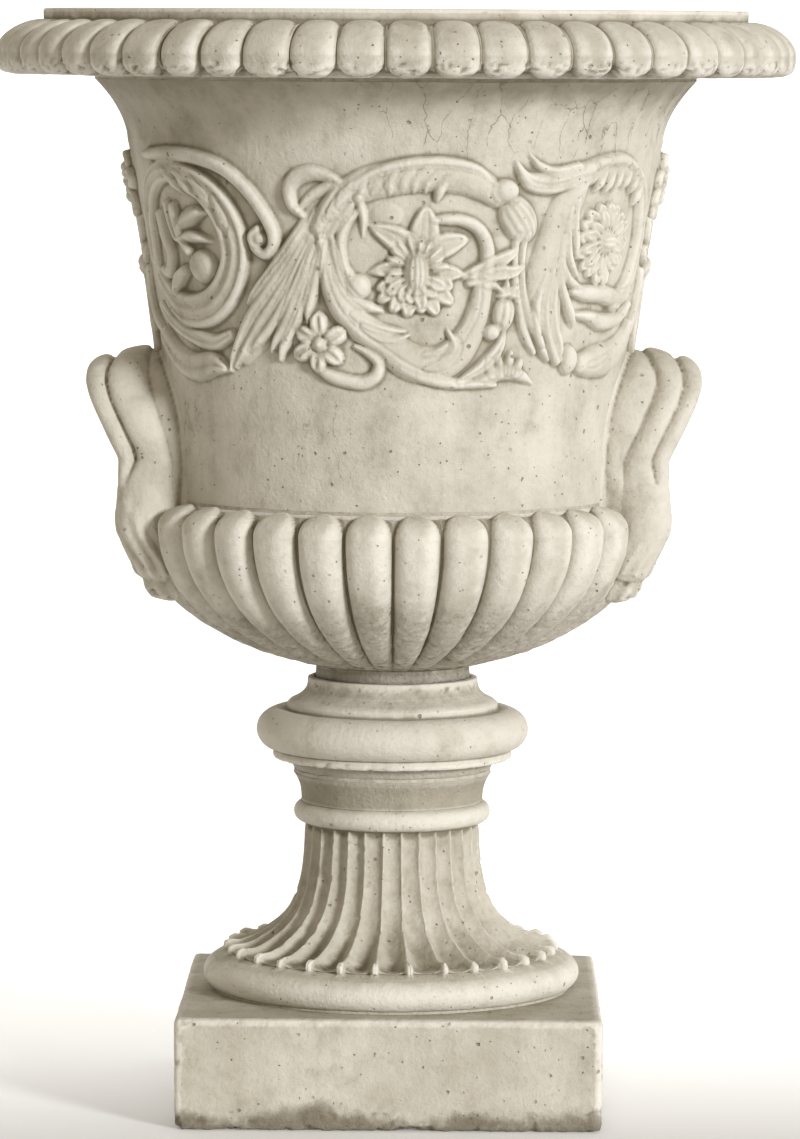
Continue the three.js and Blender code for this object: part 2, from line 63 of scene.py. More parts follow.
# Levels and the plinth's half width, read from the frame in millimetres
PLINTH_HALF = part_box("plinth")[1].x / MM
PLINTH_TOP = level("plinth", top=True)
PEDESTAL_BASE = level("pedestal")
PEDESTAL_TOP = level("pedestal", top=True)
KNOP_BASE = level("knop")
KNOP_TOP = level("knop", top=True)
BOWL_BASE = level("gadrooned_bowl")
BOWL_TOP = level("gadrooned_bowl", top=True)
BODY_BASE = level("bell_body")
BODY_TOP = level("bell_body", top=True)
RIM_BASE = level("gadrooned_rim")
RIM_TOP = level("gadrooned_rim", top=True)

# Sections of the stones, in millimetres
BORE = 24.0
PLINTH_EDGE = 5.0
RECESS_RADIUS = 58.0
RECESS_DEPTH = 32.0
FOOT_RADIUS = 156.0
RIB_FOOT_RADIUS = 134.0
RIB_FOOT = 121.0
STEM_FOOT = 125.0
STEM_TOP = 222.0
STEM_FLARE = 22.0
WAIST_RADIUS = 71.6
WAIST_TOP = 229.0
ASTRAGAL_MIDDLE = 238.5
ASTRAGAL_HALF = 8.7
PEDESTAL_NECK_RADIUS = 75.0
PEDESTAL_TOP_RADIUS = 80.5
KNOP_RADIUS = 112.5
COLLAR_HEIGHT = 3.4
BOWL_RADIUS = 213.0
BOWL_NECK_RADIUS = 63.8
BOWL_NECK_HEIGHT = 11.0
BOWL_SHOULDER = 18.0
BOWL_FLOOR = 42.0
FLOOR_RADIUS = 62.0
BELL_FOOT_RADIUS = 184.0
BELL_NECK_RADIUS = 220.0
BELL_TOP_RADIUS = 247.0
BELL_CURVE = 1.7
NECK_LEVEL = 794.0
NECK_FLARE_HEIGHT = 49.0
NECK_FLARE_CURVE = 1.75
WALL = 25.0
RIM_RADIUS = 328.0
RIM_INNER_RADIUS = 300.0
LIP_RADIUS = 288.7
LIP_HEIGHT = 9.0
LIP_WIDTH = 27.0

# Turns of the plinth and of the ribs and lobes about the axis, in degrees
PLINTH_TURN = -0.6
RIB_TURN = 6.4
RIM_TURN = 5.2

# Columns of the mesh in each rib or lobe, and the faces of the remeshed stones in millimetres
RIB_COLUMNS = 18
BOWL_COLUMNS = 22
RIM_COLUMNS = 18
PLINTH_VOXEL = 2.3
HANDLE_VOXEL = 1.5

# The frieze: a band round the bell, mapped flat at the radius of its middle, in millimetres
FRIEZE_LOW = 590.0
FRIEZE_HIGH = 800.0
FRIEZE_BED = 3.5
FRIEZE_RADIUS = 205.0
FRIEZE_CELL = 0.85
FRIEZE_MARGIN = 12.0
FRIEZE_EDGES = (-90.0, -25.5, 28.0, 90.0)
HALF_ROUND = math.pi * FRIEZE_RADIUS

# Heights between which darker bands, rough parts, cracks, dirt and painted shade lie, in metres
PEDESTAL_DARK_BAND = (0.2475, 0.3)
KNOP_DARK_BAND = (0.25, 0.284)
BOWL_DARK_BAND = (0.349, 0.361)
BOWL_CRUMBLY_BELOW = 0.44
RIM_CRUMBLY_BELOW = 0.862
NECK_SHADE_AND_DIRT = (0.76, 0.815)
UNDER_RIM_SHADOW = (0.818, 0.846)
SHADED_SIDE = (-0.19, -0.04)
NECK_CRACKS = (0.772, 0.8)
FOOT_CRACKS_BELOW = 0.6
GROUND_DIRT_HEIGHT = 0.026

# Camera and studio, in metres and degrees
CAMERA_PLACE = (0.0033, -4.851, 0.885)
CAMERA_TILT = 84.746
CAMERA_ROLL = -0.3
CAMERA_LENS = 186.1
FLOOR_HALF = 30.0
FLOOR_FRONT = 2.2
FLOOR_BEHIND = 9.0
FLOOR_COLOUR = (0.78, 0.78, 0.78, 1)
GLOW_BEHIND = (-0.5, 0.5)
GLOW_ASIDE = (1.0, 2.6)
GLOW_STRENGTH = 0.55
SKY_COLOUR = (1.0, 0.876, 0.691, 1)
SKY_STRENGTH = 0.42
SUN_TOWARDS = (0.6, -0.75, 0.25)
SUN_COLOUR = (0.93, 0.94, 0.975)
SUN_STRENGTH = 3.05
SUN_ANGLE = 12


def count_property(label, text, default):
    return bpy.props.IntProperty(name=label, description=text, default=default, min=8)


def size_property(label, text, millimetres):
    return bpy.props.FloatProperty(name=label, description=text, default=millimetres * MM, unit="LENGTH")


class UrnSizes(bpy.types.PropertyGroup):
    """Sizes of the carving and the wear that can be changed by hand."""

    ribs: count_property("Stem ribs", "Number of thin ribs round the stem", 30)
    flute_depth: size_property("Flute depth", "Depth of the hollows between the ribs of the stem", 4.2)
    bowl_lobes: count_property("Bowl lobes", "Number of gadroons round the bowl", 32)
    bowl_lobe_depth: size_property("Bowl lobe depth", "Depth of the grooves between the gadroons", 14.0)
    rim_lobes: count_property("Rim lobes", "Number of rounded lobes round the rim", 54)
    rim_lobe_depth: size_property("Rim lobe depth", "Depth of the grooves between the rim's lobes", 7.0)
    relief: size_property("Relief", "How far a plain stem of the frieze stands out from the bell", 8.5)
    wear: size_property("Wear", "Unevenness of the weathered surface", 0.5)
    chip: size_property("Chips", "Depth of the chips along the plinth's edges", 4.0)


def colour_property(label, text, default):
    return bpy.props.FloatVectorProperty(
        name=label, description=text, subtype="COLOR", size=4, min=0.0, max=1.0, default=default
    )


class UrnFinish(bpy.types.PropertyGroup):
    """Colours of the urn's stone, its dirt and painted shade, mortar and metal."""

    light: colour_property("Light stone", "Clean cream cast stone", (0.668, 0.635, 0.553, 1))
    deep: colour_property("Deep stone", "Weathered patches of the stone", (0.490, 0.461, 0.376, 1))
    # The worn colour is also the painted highlight on the high, convex parts
    worn: colour_property("Worn edges", "Rubbed high edges", (0.800, 0.776, 0.700, 1))
    # This grime colour also paints shade: in the hollows, on the shaded side, under the rim and on
    # undersides
    grime_and_shade: colour_property("Grime", "Dirt that lies in the hollows", (0.2, 0.17, 0.11, 1))
    mortar: colour_property("Mortar", "Lime mortar in the joints", (0.56, 0.52, 0.43, 1))
    zinc: colour_property("Zinc", "Dull galvanised steel", (0.5, 0.51, 0.51, 1))
    steel: colour_property("Steel", "Drawn stainless bar", (0.6, 0.61, 0.61, 1))


class Wire:
    """An output of a shader node. Arithmetic on it adds Math nodes."""

    def __init__(self, tree, socket=None):
        self.tree = tree
        self.socket = socket

    def node(self, kind, settings=None, inputs=None, output=0):
        """Adds a node, sets it up, feeds its sockets and gives back one of its outputs."""
        made = self.tree.nodes.new(kind)
        for name, value in (settings or {}).items():
            if name == "stops":
                ramp = made.color_ramp.elements
                while len(ramp) < len(value):
                    ramp.new(0.5)
                for element, (position, colour) in zip(ramp, value):
                    element.position = position
                    element.color = colour
            else:
                setattr(made, name, value)
        for key, value in (inputs or {}).items():
            if isinstance(value, Wire):
                self.tree.links.new(value.socket, made.inputs[key])
            else:
                made.inputs[key].default_value = value
        return Wire(self.tree, made.outputs[output] if made.outputs else None)

    def maths(self, operation, *values):
        inputs = dict(enumerate(values))
        return self.node("ShaderNodeMath", {"operation": operation}, inputs)

    def __add__(self, other):
        return self.maths("ADD", self, other)

    __radd__ = __add__

    def __sub__(self, other):
        return self.maths("SUBTRACT", self, other)

    def __rsub__(self, other):
        return self.maths("SUBTRACT", other, self)

    def __mul__(self, other):
        return self.maths("MULTIPLY", self, other)

    __rmul__ = __mul__

    def between(self, low, high):
        """0 below low and 1 above high, with a smooth change between."""
        return self.node(
            "ShaderNodeMapRange", {"interpolation_type": "SMOOTHSTEP"},
            {"Value": self, "From Min": low, "From Max": high},
        )

    def blend(self, first, second):
        """A colour that goes from first to second as this value goes from 0 to 1."""
        return self.node(
            "ShaderNodeMix", {"data_type": "RGBA", "clamp_factor": True},
            {0: self, 6: first, 7: second}, output=2,
        )


def start_material(name):
    material = bpy.data.materials.new(name)
    material.use_nodes = True
    material.node_tree.nodes.clear()
    return material, Wire(material.node_tree)


def finish_material(wire, colour, roughness, bump, metallic=0.0, specular=0.35, distance=0.001):
    normal = wire.node(
        "ShaderNodeBump", None, {"Strength": 1.0, "Distance": distance, "Height": bump}
    )
    shader = wire.node(
        "ShaderNodeBsdfPrincipled", None,
        {"Base Color": colour, "Roughness": roughness, "Metallic": metallic,
         "Specular IOR Level": specular, "Normal": normal},
    )
    wire.node("ShaderNodeOutputMaterial", None, {"Surface": shader})


def noise(wire, place, size, detail=3.0, roughness=0.5, stretch=None):
    """Soft noise whose lumps are about size millimetres across."""
    if stretch:
        place = wire.node("ShaderNodeMapping", None, {"Vector": place, "Scale": stretch})
    return wire.node(
        "ShaderNodeTexNoise", None,
        {"Vector": place, "Scale": 1 / (size * MM), "Detail": detail, "Roughness": roughness},
    )


def pits(wire, place, cell, widest, share):
    """Round holes, one in some of the cells, as shares of how deep they are."""
    cells = {"Vector": place, "Scale": 1 / (cell * MM), "Randomness": 1.0}
    distance = wire.node("ShaderNodeTexVoronoi", None, cells)
    chance = wire.node("ShaderNodeTexVoronoi", None, cells, output=1)
    red = wire.node("ShaderNodeSeparateColor", None, {"Color": chance})
    radius = (red - (1 - share)) * (widest / cell / share)
    return (radius - distance).between(0.0, 0.07)


def hairlines(wire, wavy, cell, along):
    """Fine cracks that run nearly upright between cells about cell metres across."""
    moved = wire.node("ShaderNodeMapping", None,
                      {"Vector": wavy, "Location": (along, 0, 0), "Scale": (1, 1, 0.02)})
    border = wire.node("ShaderNodeTexVoronoi", {"feature": "DISTANCE_TO_EDGE"},
                       {"Vector": moved, "Scale": 1 / cell})
    return 1 - border.between(0.0001 / cell, 0.00034 / cell)


def stone_material(name, finish, on_bell=False, ground_dirt=False, rough_below=None, tone=0.0,
                   top_dirt_and_shade_above=None, dark_band=None):
    """Weathered cast stone. Its dirt and painted shade in the hollows, and its worn edges and painted
    highlight on the high parts, follow the mesh's own hollow attribute.
    """
    material, wire = start_material(name)
    place = wire.node("ShaderNodeTexCoord", output=3)
    side = wire.node("ShaderNodeSeparateXYZ", None, {0: place}, output=0)
    height = wire.node("ShaderNodeSeparateXYZ", None, {0: place}, output=2)
    hollow = wire.node("ShaderNodeAttribute", {"attribute_name": "hollow"}, output=2)
    patches = noise(wire, place, 95, 4, 0.55)
    blots = noise(wire, place, 34, 5, 0.6)
    mottle = noise(wire, place, 13, 5, 0.65)
    streaks = noise(wire, place, 26, 4, 0.6, stretch=(1, 1, 0.14))
    grain = noise(wire, place, 1.1, 4, 0.7)
    rough = noise(wire, place, 4.2, 4, 0.68)
    warp = wire.node("ShaderNodeTexNoise", None, {"Vector": place, "Scale": 1 / (3.0 * MM)}, output=1)
    bent = wire.node("ShaderNodeVectorMath", {"operation": "MULTIPLY_ADD"},
                     {0: warp, 1: (0.0025, 0.0025, 0.0025), 2: place})

    # Blends towards the grime colour, which stands for dirt and also for painted shade
    def add_dirt_and_shade(under, mask):
        return mask.blend(under, tuple(finish.grime_and_shade))

    # Cream stone with darker patches, rubbed edges with painted highlight, dirt with painted shade in the
    # hollows, and dirt as a thin film
    shade = patches * 0.55 + blots * 0.45 + mottle * 0.2 + streaks * 0.35 + tone
    colour = shade.between(0.58, 1.02).blend(tuple(finish.light), tuple(finish.deep))
    sand = (grain - 0.5) * 0.6 + (mottle - 0.5) * 0.8
    # High, convex parts drawn towards the worn colour: rubbed edges, with painted highlight
    worn = (sand * 0.5 - hollow).between(0.1, 0.85)
    colour = (worn * 0.75).blend(colour, tuple(finish.worn))
    hollow_dirt_and_shade = (hollow + (mottle - 0.5) * 0.9 + (streaks - 0.5) * 0.4).between(0.12, 1.15)
    colour = add_dirt_and_shade(colour, hollow_dirt_and_shade * 0.8)
    film = (blots * 0.6 + streaks * 0.5).between(0.53, 0.74) * mottle.between(0.36, 0.66)
    colour = add_dirt_and_shade(colour, film * 0.3)
    colour = add_dirt_and_shade(colour, grain.between(0.6, 0.8) * 0.2)
    colour = add_dirt_and_shade(colour, rough.between(0.52, 0.74) * 0.14)
    bump = grain * 0.4 + mottle * 0.8 + rough * 1.2

    if on_bell:
        # Painted shade, with some dirt, on the neck's side away from the key light, and a painted shadow
        # close under the rim
        neck_shade_and_dirt = 1 - (side + (patches - 0.5) * 0.12).between(*SHADED_SIDE)
        neck_shade_and_dirt = (height + (blots - 0.5) * 0.06).between(*NECK_SHADE_AND_DIRT) * neck_shade_and_dirt * 0.42
        neck_shade_and_dirt = neck_shade_and_dirt + (height + (mottle - 0.5) * 0.02).between(*UNDER_RIM_SHADOW) * 0.3
        colour = add_dirt_and_shade(colour, neck_shade_and_dirt)
    # A darker, rougher band between two heights
    if dark_band:
        low, high = dark_band
        band = (height - low).between(0.0, 0.003) * (high - height).between(0.0, 0.003)
        colour = add_dirt_and_shade(colour, band * (0.25 + blots * 0.5))
        bump = bump + rough * band * 1.5
    # The top face drawn darker: dirt, with painted shade on the upward face that the low key light hardly
    # reaches
    if top_dirt_and_shade_above is not None:
        top_dirt_and_shade = (height - top_dirt_and_shade_above).between(0.0, 0.002) * (0.35 + blots * 0.9)
        colour = add_dirt_and_shade(colour, top_dirt_and_shade * 0.3)
    if rough_below is not None:
        # The rough lower part is also drawn darker: dirt, with painted shade on the underside
        crumbly = (rough_below - height + (patches - 0.5) * 0.08).between(0.0, 0.03)
        crumbs = noise(wire, place, 4.5, 5, 0.75)
        bump = bump + crumbs * crumbly * 2.4
        colour = add_dirt_and_shade(colour, crumbly * (0.1 + crumbs.between(0.44, 0.7) * 0.42))
    if on_bell:
        swerve = wire.node("ShaderNodeTexNoise", None,
                           {"Vector": place, "Scale": 1 / (16 * MM), "Detail": 4.0}, output=1)
        wavy = wire.node("ShaderNodeVectorMath", {"operation": "MULTIPLY_ADD"},
                         {0: swerve, 1: (0.012, 0.012, 0.0), 2: bent})
        on_neck = (height + (patches - 0.5) * 0.1).between(*NECK_CRACKS) * (side + 0.05).between(0.0, 0.04)
        at_foot = (FOOT_CRACKS_BELOW - height).between(0.0, 0.02) * patches.between(0.52, 0.6) * 0.7
        for cell, along, where in ((0.027, 0.0, on_neck), (0.06, 2.0, at_foot)):
            line = hairlines(wire, wavy, cell, along) * where
            line = line * mottle.between(0.38, 0.5) * blots.between(0.4, 0.52)
            colour = add_dirt_and_shade(colour, line * 0.6)
            bump = bump - line * 0.4
    if ground_dirt:
        edge = height + (mottle - 0.5) * 0.03 + (blots - 0.5) * 0.03 + (patches - 0.5) * 0.05
        dirty = 1 - edge.between(0.0, GROUND_DIRT_HEIGHT)
        colour = add_dirt_and_shade(colour, (dirty * (0.3 + mottle * 1.0)).between(0.2, 0.8) * 0.85)
        crust = noise(wire, place, 3.2, 5, 0.8)
        bump = bump + crust * dirty * 2.8

    # Casting pits of two sizes, the larger ones gathered in groups
    gathered = 0.35 + patches.between(0.42, 0.6) * 0.65
    holes = pits(wire, bent, 12, 2.1, 0.62) * gathered
    holes = holes.maths("MAXIMUM", holes, pits(wire, bent, 5.5, 1.05, 0.5))
    colour = add_dirt_and_shade(colour, holes * 0.75)
    finish_material(wire, colour, 0.84 + grain * 0.14, bump - holes * 1.8, distance=0.0009)
    return material


def mortar_material(name, finish):
    material, wire = start_material(name)
    place = wire.node("ShaderNodeTexCoord", output=3)
    lumps = noise(wire, place, 6, 5, 0.7)
    grain = noise(wire, place, 1.0, 4, 0.75)
    colour = (lumps.between(0.4, 0.75) * 0.5).blend(tuple(finish.mortar), tuple(finish.grime_and_shade))
    finish_material(wire, colour, 0.9 + grain * 0.08, lumps + grain * 0.5, distance=0.0012)
    return material


def metal_material(name, tint, finish, patchy):
    """Bare metal with cloudy tarnish and a trace of the grime."""
    material, wire = start_material(name)
    place = wire.node("ShaderNodeTexCoord", output=3)
    cloud = noise(wire, place, 14, 4, 0.6)
    scratch = noise(wire, place, 1.6, 3, 0.6)
    colour = (cloud.between(0.45, 0.75) * patchy).blend(tuple(tint), tuple(finish.grime_and_shade))
    roughness = 0.3 + cloud * 0.35 + scratch * 0.12
    finish_material(wire, colour, roughness, cloud * 0.3 + scratch * 0.2, 1.0 - cloud * 0.3,
                    specular=0.5, distance=0.0004)
    return material


def eased(share):
    """A share from 0 to 1 that starts and ends gently."""
    return share * share * (3 - 2 * share)


def value_noise(points, size, seed):
    """Smooth random values from -1 to 1 at points, changing over about size millimetres."""
    lattice = np.random.default_rng(seed).uniform(-1, 1, (32, 32, 32))
    scaled = points / size + 1000.0
    cell = np.floor(scaled).astype(int)
    part = scaled - cell
    part = eased(part)
    total = np.zeros(len(points))
    for corner in range(8):
        step = np.array([corner & 1, (corner >> 1) & 1, corner >> 2])
        weight = np.prod(np.where(step, part, 1 - part), axis=1)
        index = (cell + step) % 32
        total += weight * lattice[index[:, 0], index[:, 1], index[:, 2]]
    return total


def new_object(name, data):
    """An object in the scene that holds a mesh, a camera or a light."""
    made = bpy.data.objects.new(name, data)
    bpy.context.scene.collection.objects.link(made)
    return made


def points_of(bm):
    return np.array([v.co for v in bm.verts]) / MM


def normals_of(bm):
    bm.normal_update()
    return np.array([v.normal for v in bm.verts])


def move_points(bm, points):
    for vert, place in zip(bm.verts, points * MM):
        vert.co = place


def arc(centre, radii, start, end, steps):
    """Points of an elliptical arc in a section, angles in degrees from the outward direction."""
    angles = np.radians(np.linspace(start, end, steps + 1))
    return [(centre[0] + radii[0] * math.cos(a), centre[1] + radii[1] * math.sin(a)) for a in angles]


def refine(path, step):
    """Adds points along an open section so that no stretch is longer than step."""
    fine = [path[0]]
    for a, b in zip(path, path[1:]):
        count = max(1, math.ceil(math.dist(a, b) / step))
        fine += [(a[0] + (b[0] - a[0]) * i / count, a[1] + (b[1] - a[1]) * i / count)
                 for i in range(1, count + 1)]
    return fine


def turn_section(profile, sides, repeats=1):
    """Spins a closed section, given in millimetres, into a ring-shaped solid."""
    bm = bmesh.new()
    verts = [bm.verts.new((radius * MM, 0, z * MM)) for radius, z in profile]
    edges = [bm.edges.new((a, b)) for a, b in zip(verts, verts[1:] + verts[:1])]
    bmesh.ops.spin(
        bm, geom=verts + edges, cent=(0, 0, 0), axis=(0, 0, 1), angle=2 * math.pi / repeats,
        steps=sides // repeats, use_merge=repeats == 1, use_duplicate=False,
    )
    sector = bm.verts[:] + bm.edges[:] + bm.faces[:]
    for number in range(1, repeats):
        copy = bmesh.ops.duplicate(bm, geom=sector)["geom"]
        copied = [item for item in copy if isinstance(item, bmesh.types.BMVert)]
        turn = Matrix.Rotation(2 * math.pi * number / repeats, 3, "Z")
        bmesh.ops.rotate(bm, verts=copied, cent=(0, 0, 0), matrix=turn)
    bmesh.ops.remove_doubles(bm, verts=bm.verts, dist=0.00002)
    bmesh.ops.recalc_face_normals(bm, faces=bm.faces)
    return bm


def radii(points):
    return np.hypot(points[:, 0], points[:, 1])


def angle_from_front(points):
    return np.arctan2(points[:, 0], -points[:, 1])


def across_lobes(points, lobes, turn):
    """Where each point lies across its lobe, from -1 to 1, and the number of that lobe."""
    share = (angle_from_front(points) - math.radians(turn)) / (2 * math.pi) * lobes
    number = np.floor(share)
    return 2 * (share - number) - 1, number.astype(int) % lobes


def crowd_to_grooves(points, lobes, turn):
    """Draws the mesh's columns towards the grooves, where the shape bends most."""
    across, _ = across_lobes(points, lobes, turn)
    shift = (np.sin(across * math.pi / 2) - across) * math.pi / lobes
    cosine = np.cos(shift)
    sine = np.sin(shift)
    moved = points.copy()
    moved[:, 0] = points[:, 0] * cosine - points[:, 1] * sine
    moved[:, 1] = points[:, 0] * sine + points[:, 1] * cosine
    return moved


def weather(points, normals, amount, seed):
    """Slow waviness and small lumps of a worn casting."""
    lumps = 0.6 * value_noise(points, 38, seed) + 0.3 * value_noise(points, 11, seed + 1)
    lumps += 0.16 * value_noise(points, 4.5, seed + 2)
    return points + normals * (lumps * amount)[:, None]


def weathered(bm, sizes, share, seed):
    """A stone's worn points, and the way that its surface faced at each before."""
    points, normals = points_of(bm), normals_of(bm)
    return weather(points, normals, sizes.wear / MM * share, seed), normals


def nicks(points, coarse, fine, share, spared, seed):
    """Depth from 0 to 1 of small breaks in lumps of two sizes. The higher spared, the fewer."""
    lumps = value_noise(points, coarse, seed) + share * value_noise(points, fine, seed + 1)
    return np.clip(lumps - spared, 0, 1)


def sharpen(bm, angle):
    """Keeps the shading crisp over edges that turn by more than angle degrees."""
    for edge in bm.edges:
        if edge.calc_face_angle(0) > math.radians(angle):
            edge.smooth = False


def keep_hollows(mesh, values):
    attribute = mesh.attributes.new("hollow", "FLOAT", "POINT")
    attribute.data.foreach_set("value", values.astype(np.float32))


def measure_hollows(mesh, scale):
    """Keeps, for each point, how deep it lies below its surroundings: the stone's material paints dirt and
    shade in the hollows and highlight on the high parts.
    """
    count = len(mesh.vertices)
    points = np.empty(count * 3)
    mesh.vertices.foreach_get("co", points)
    points = points.reshape(-1, 3) / MM
    normals = np.empty(count * 3)
    mesh.vertices.foreach_get("normal", normals)
    normals = normals.reshape(-1, 3)
    ends = np.empty(len(mesh.edges) * 2, int)
    mesh.edges.foreach_get("vertices", ends)
    first, second = ends.reshape(-1, 2).T
    degree = np.bincount(ends, minlength=count).astype(float)
    smooth = points.copy()
    result = np.zeros(count)
    for step in range(1, 29):
        total = np.empty_like(smooth)
        for axis in range(3):
            total[:, axis] = np.bincount(first, smooth[second, axis], count)
            total[:, axis] += np.bincount(second, smooth[first, axis], count)
        smooth = 0.5 * smooth + 0.5 * total / degree[:, None]
        if step in (4, 28):
            depth = np.einsum("ij,ij->i", smooth - points, normals)
            depth -= np.median(depth)
            result += np.clip(depth * (1.7 if step == 4 else 0.28), -0.8, 0.8)
    keep_hollows(mesh, result * scale)


def make_piece(name, bm, material, replaced=(), hollows=1.0):
    """Turns a finished bmesh into a piece of the urn that rides on its body."""
    mesh = bpy.data.meshes.new(name)
    bm.to_mesh(mesh)
    bm.free()
    mesh.polygons.foreach_set("use_smooth", [True] * len(mesh.polygons))
    mesh.materials.append(material)
    if hollows:
        measure_hollows(mesh, hollows)
    piece = new_object(name, mesh)
    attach(piece, "root")
    if replaced:
        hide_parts(*replaced)
    return piece


def lobed_ring(rows, rest, lobes, turn, columns, uneven, seed):
    """A ring with convex lobes. Each row has a crest point, a groove point, a lobe width and a power
    that makes the lobe's section squarer. Rest is the plain part of the ring's section."""
    crests, bases, widths, power = (list(column) for column in zip(*rows))
    bm = turn_section(crests + rest, lobes * columns, lobes)
    points = crowd_to_grooves(points_of(bm), lobes, turn)
    across, number = across_lobes(points, lobes, turn)
    radius = radii(points)
    crests, bases = np.array(crests), np.array(bases)
    distance = np.hypot(radius[:, None] - crests[None, :, 0], points[:, 2][:, None] - crests[None, :, 1])
    row = distance.argmin(axis=1)
    on_lobes = distance[np.arange(len(row)), row] < 0.01
    random = np.random.default_rng(seed)
    narrow = 1 - random.uniform(0, uneven * 0.3, lobes)[number]
    lean = random.uniform(-uneven, uneven, lobes)[number] * 0.15
    share = np.abs(across + lean * (1 - across * across)) / (np.array(widths)[row] * narrow)
    swell = np.clip(1 - np.clip(share, 0, 1) ** np.array(power)[row], 0, 1) ** 0.6
    deeper = 1 + random.uniform(-uneven, uneven, lobes)[number]
    shift = (bases - crests)[row] * ((1 - swell) * deeper * on_lobes)[:, None]
    scale = (radius + shift[:, 0]) / radius
    points[:, :2] *= scale[:, None]
    points[:, 2] += shift[:, 1]
    move_points(bm, points)
    return bm, on_lobes


# Plinth


def cut_round(bm, radius, low, high):
    """Opens a round pit or bore in a block and leaves it closed all round."""
    tool = bmesh.new()
    bmesh.ops.create_cone(
        tool, cap_ends=True, segments=64, radius1=radius * MM, radius2=radius * MM,
        depth=(high - low) * MM, matrix=Matrix.Translation((0, 0, (high + low) / 2 * MM)),
    )
    meshes = []
    objects = []
    for source in (bm, tool):
        mesh = bpy.data.meshes.new("cut")
        source.to_mesh(mesh)
        meshes.append(mesh)
        objects.append(new_object("cut", mesh))
    boolean = objects[0].modifiers.new("cut", "BOOLEAN")
    boolean.object = objects[1]
    boolean.operation = "DIFFERENCE"
    boolean.solver = "EXACT"
    bpy.context.view_layer.update()
    result = objects[0].evaluated_get(bpy.context.evaluated_depsgraph_get()).to_mesh()
    bm.clear()
    bm.from_mesh(result)
    tool.free()
    for item in objects:
        bpy.data.objects.remove(item)
    for mesh in meshes:
        bpy.data.meshes.remove(mesh)


def remeshed(bm, voxel):
    """The same solid with even faces about voxel metres across."""
    mesh = bpy.data.meshes.new("remesh")
    bm.to_mesh(mesh)
    holder = new_object("remesh", mesh)
    modifier = holder.modifiers.new("remesh", "REMESH")
    modifier.mode = "VOXEL"
    modifier.voxel_size = voxel
    bpy.context.view_layer.update()
    result = holder.evaluated_get(bpy.context.evaluated_depsgraph_get()).to_mesh()
    bm.clear()
    bm.from_mesh(result)
    bpy.data.objects.remove(holder)
    bpy.data.meshes.remove(mesh)
    return bm


def build_plinth(sizes, finish):
    """A square block with softened edges, chipped most along its foot."""
    bm = bmesh.new()
    bmesh.ops.create_cube(bm, size=1.0)
    extent = (2 * PLINTH_HALF * MM, 2 * PLINTH_HALF * MM, PLINTH_TOP * MM)
    bmesh.ops.scale(bm, vec=extent, verts=bm.verts)
    bmesh.ops.translate(bm, vec=(0, 0, PLINTH_TOP / 2 * MM), verts=bm.verts)
    bmesh.ops.bevel(
        bm, geom=bm.edges, offset=PLINTH_EDGE * MM, offset_type="OFFSET", affect="EDGES", segments=4,
        profile=0.5, material=-1,
    )
    cut_round(bm, BORE, -10, PLINTH_TOP + 10)
    cut_round(bm, RECESS_RADIUS, -RECESS_DEPTH, RECESS_DEPTH)
    remeshed(bm, PLINTH_VOXEL * MM)
    points, normals = weathered(bm, sizes, 2.0, 11)
    aside = np.abs(points[:, :2]).max(axis=1)
    corner = np.abs(points[:, :2]).min(axis=1)
    outside = np.clip((aside - RECESS_RADIUS - 40) / 40, 0, 1)
    foot = np.clip(1 - points[:, 2] / 22, 0, 1) * outside
    arris = np.clip((corner - PLINTH_HALF + 14) / 14, 0, 1)
    arris = arris * np.clip((aside - PLINTH_HALF + 8) / 8, 0, 1)
    shoulder = np.clip((points[:, 2] - PLINTH_TOP + 8) / 8, 0, 1)
    shoulder = shoulder * np.clip((aside - PLINTH_HALF + 9) / 9, 0, 1)
    lumps = value_noise(points, 16, 20) * 0.7 + value_noise(points, 9, 21)
    lumps += 0.6 * value_noise(points, 3.6, 22)
    bites = np.clip(lumps - 0.15, 0, 1.3)
    depth = bites * (foot + 0.5 * arris + 0.22 * shoulder) * (sizes.chip / MM)
    ragged = value_noise(points, 3.0, 23) * foot
    points = points - normals * (depth - ragged)[:, None]
    points[:, 2] = np.clip(points[:, 2], 0, PLINTH_TOP)
    move_points(bm, points)
    turn = Matrix.Rotation(math.radians(PLINTH_TURN), 3, "Z")
    bmesh.ops.rotate(bm, verts=bm.verts, cent=(0, 0, 0), matrix=turn)
    material = stone_material("plinth_stone", finish, ground_dirt=True, tone=0.1,
                              top_dirt_and_shade_above=PLINTH_TOP * MM - 0.0025)
    make_piece("stone_plinth", bm, material, ["plinth"], hollows=0.8)


# Pedestal


def stem_radius(z):
    """Radius of the stem's ribs at a height: nearly straight above, flaring fast at the foot."""
    rise = np.clip(z - STEM_FOOT, 0, None)
    return WAIST_RADIUS + (RIB_FOOT_RADIUS - WAIST_RADIUS) * np.exp(-rise / STEM_FLARE)


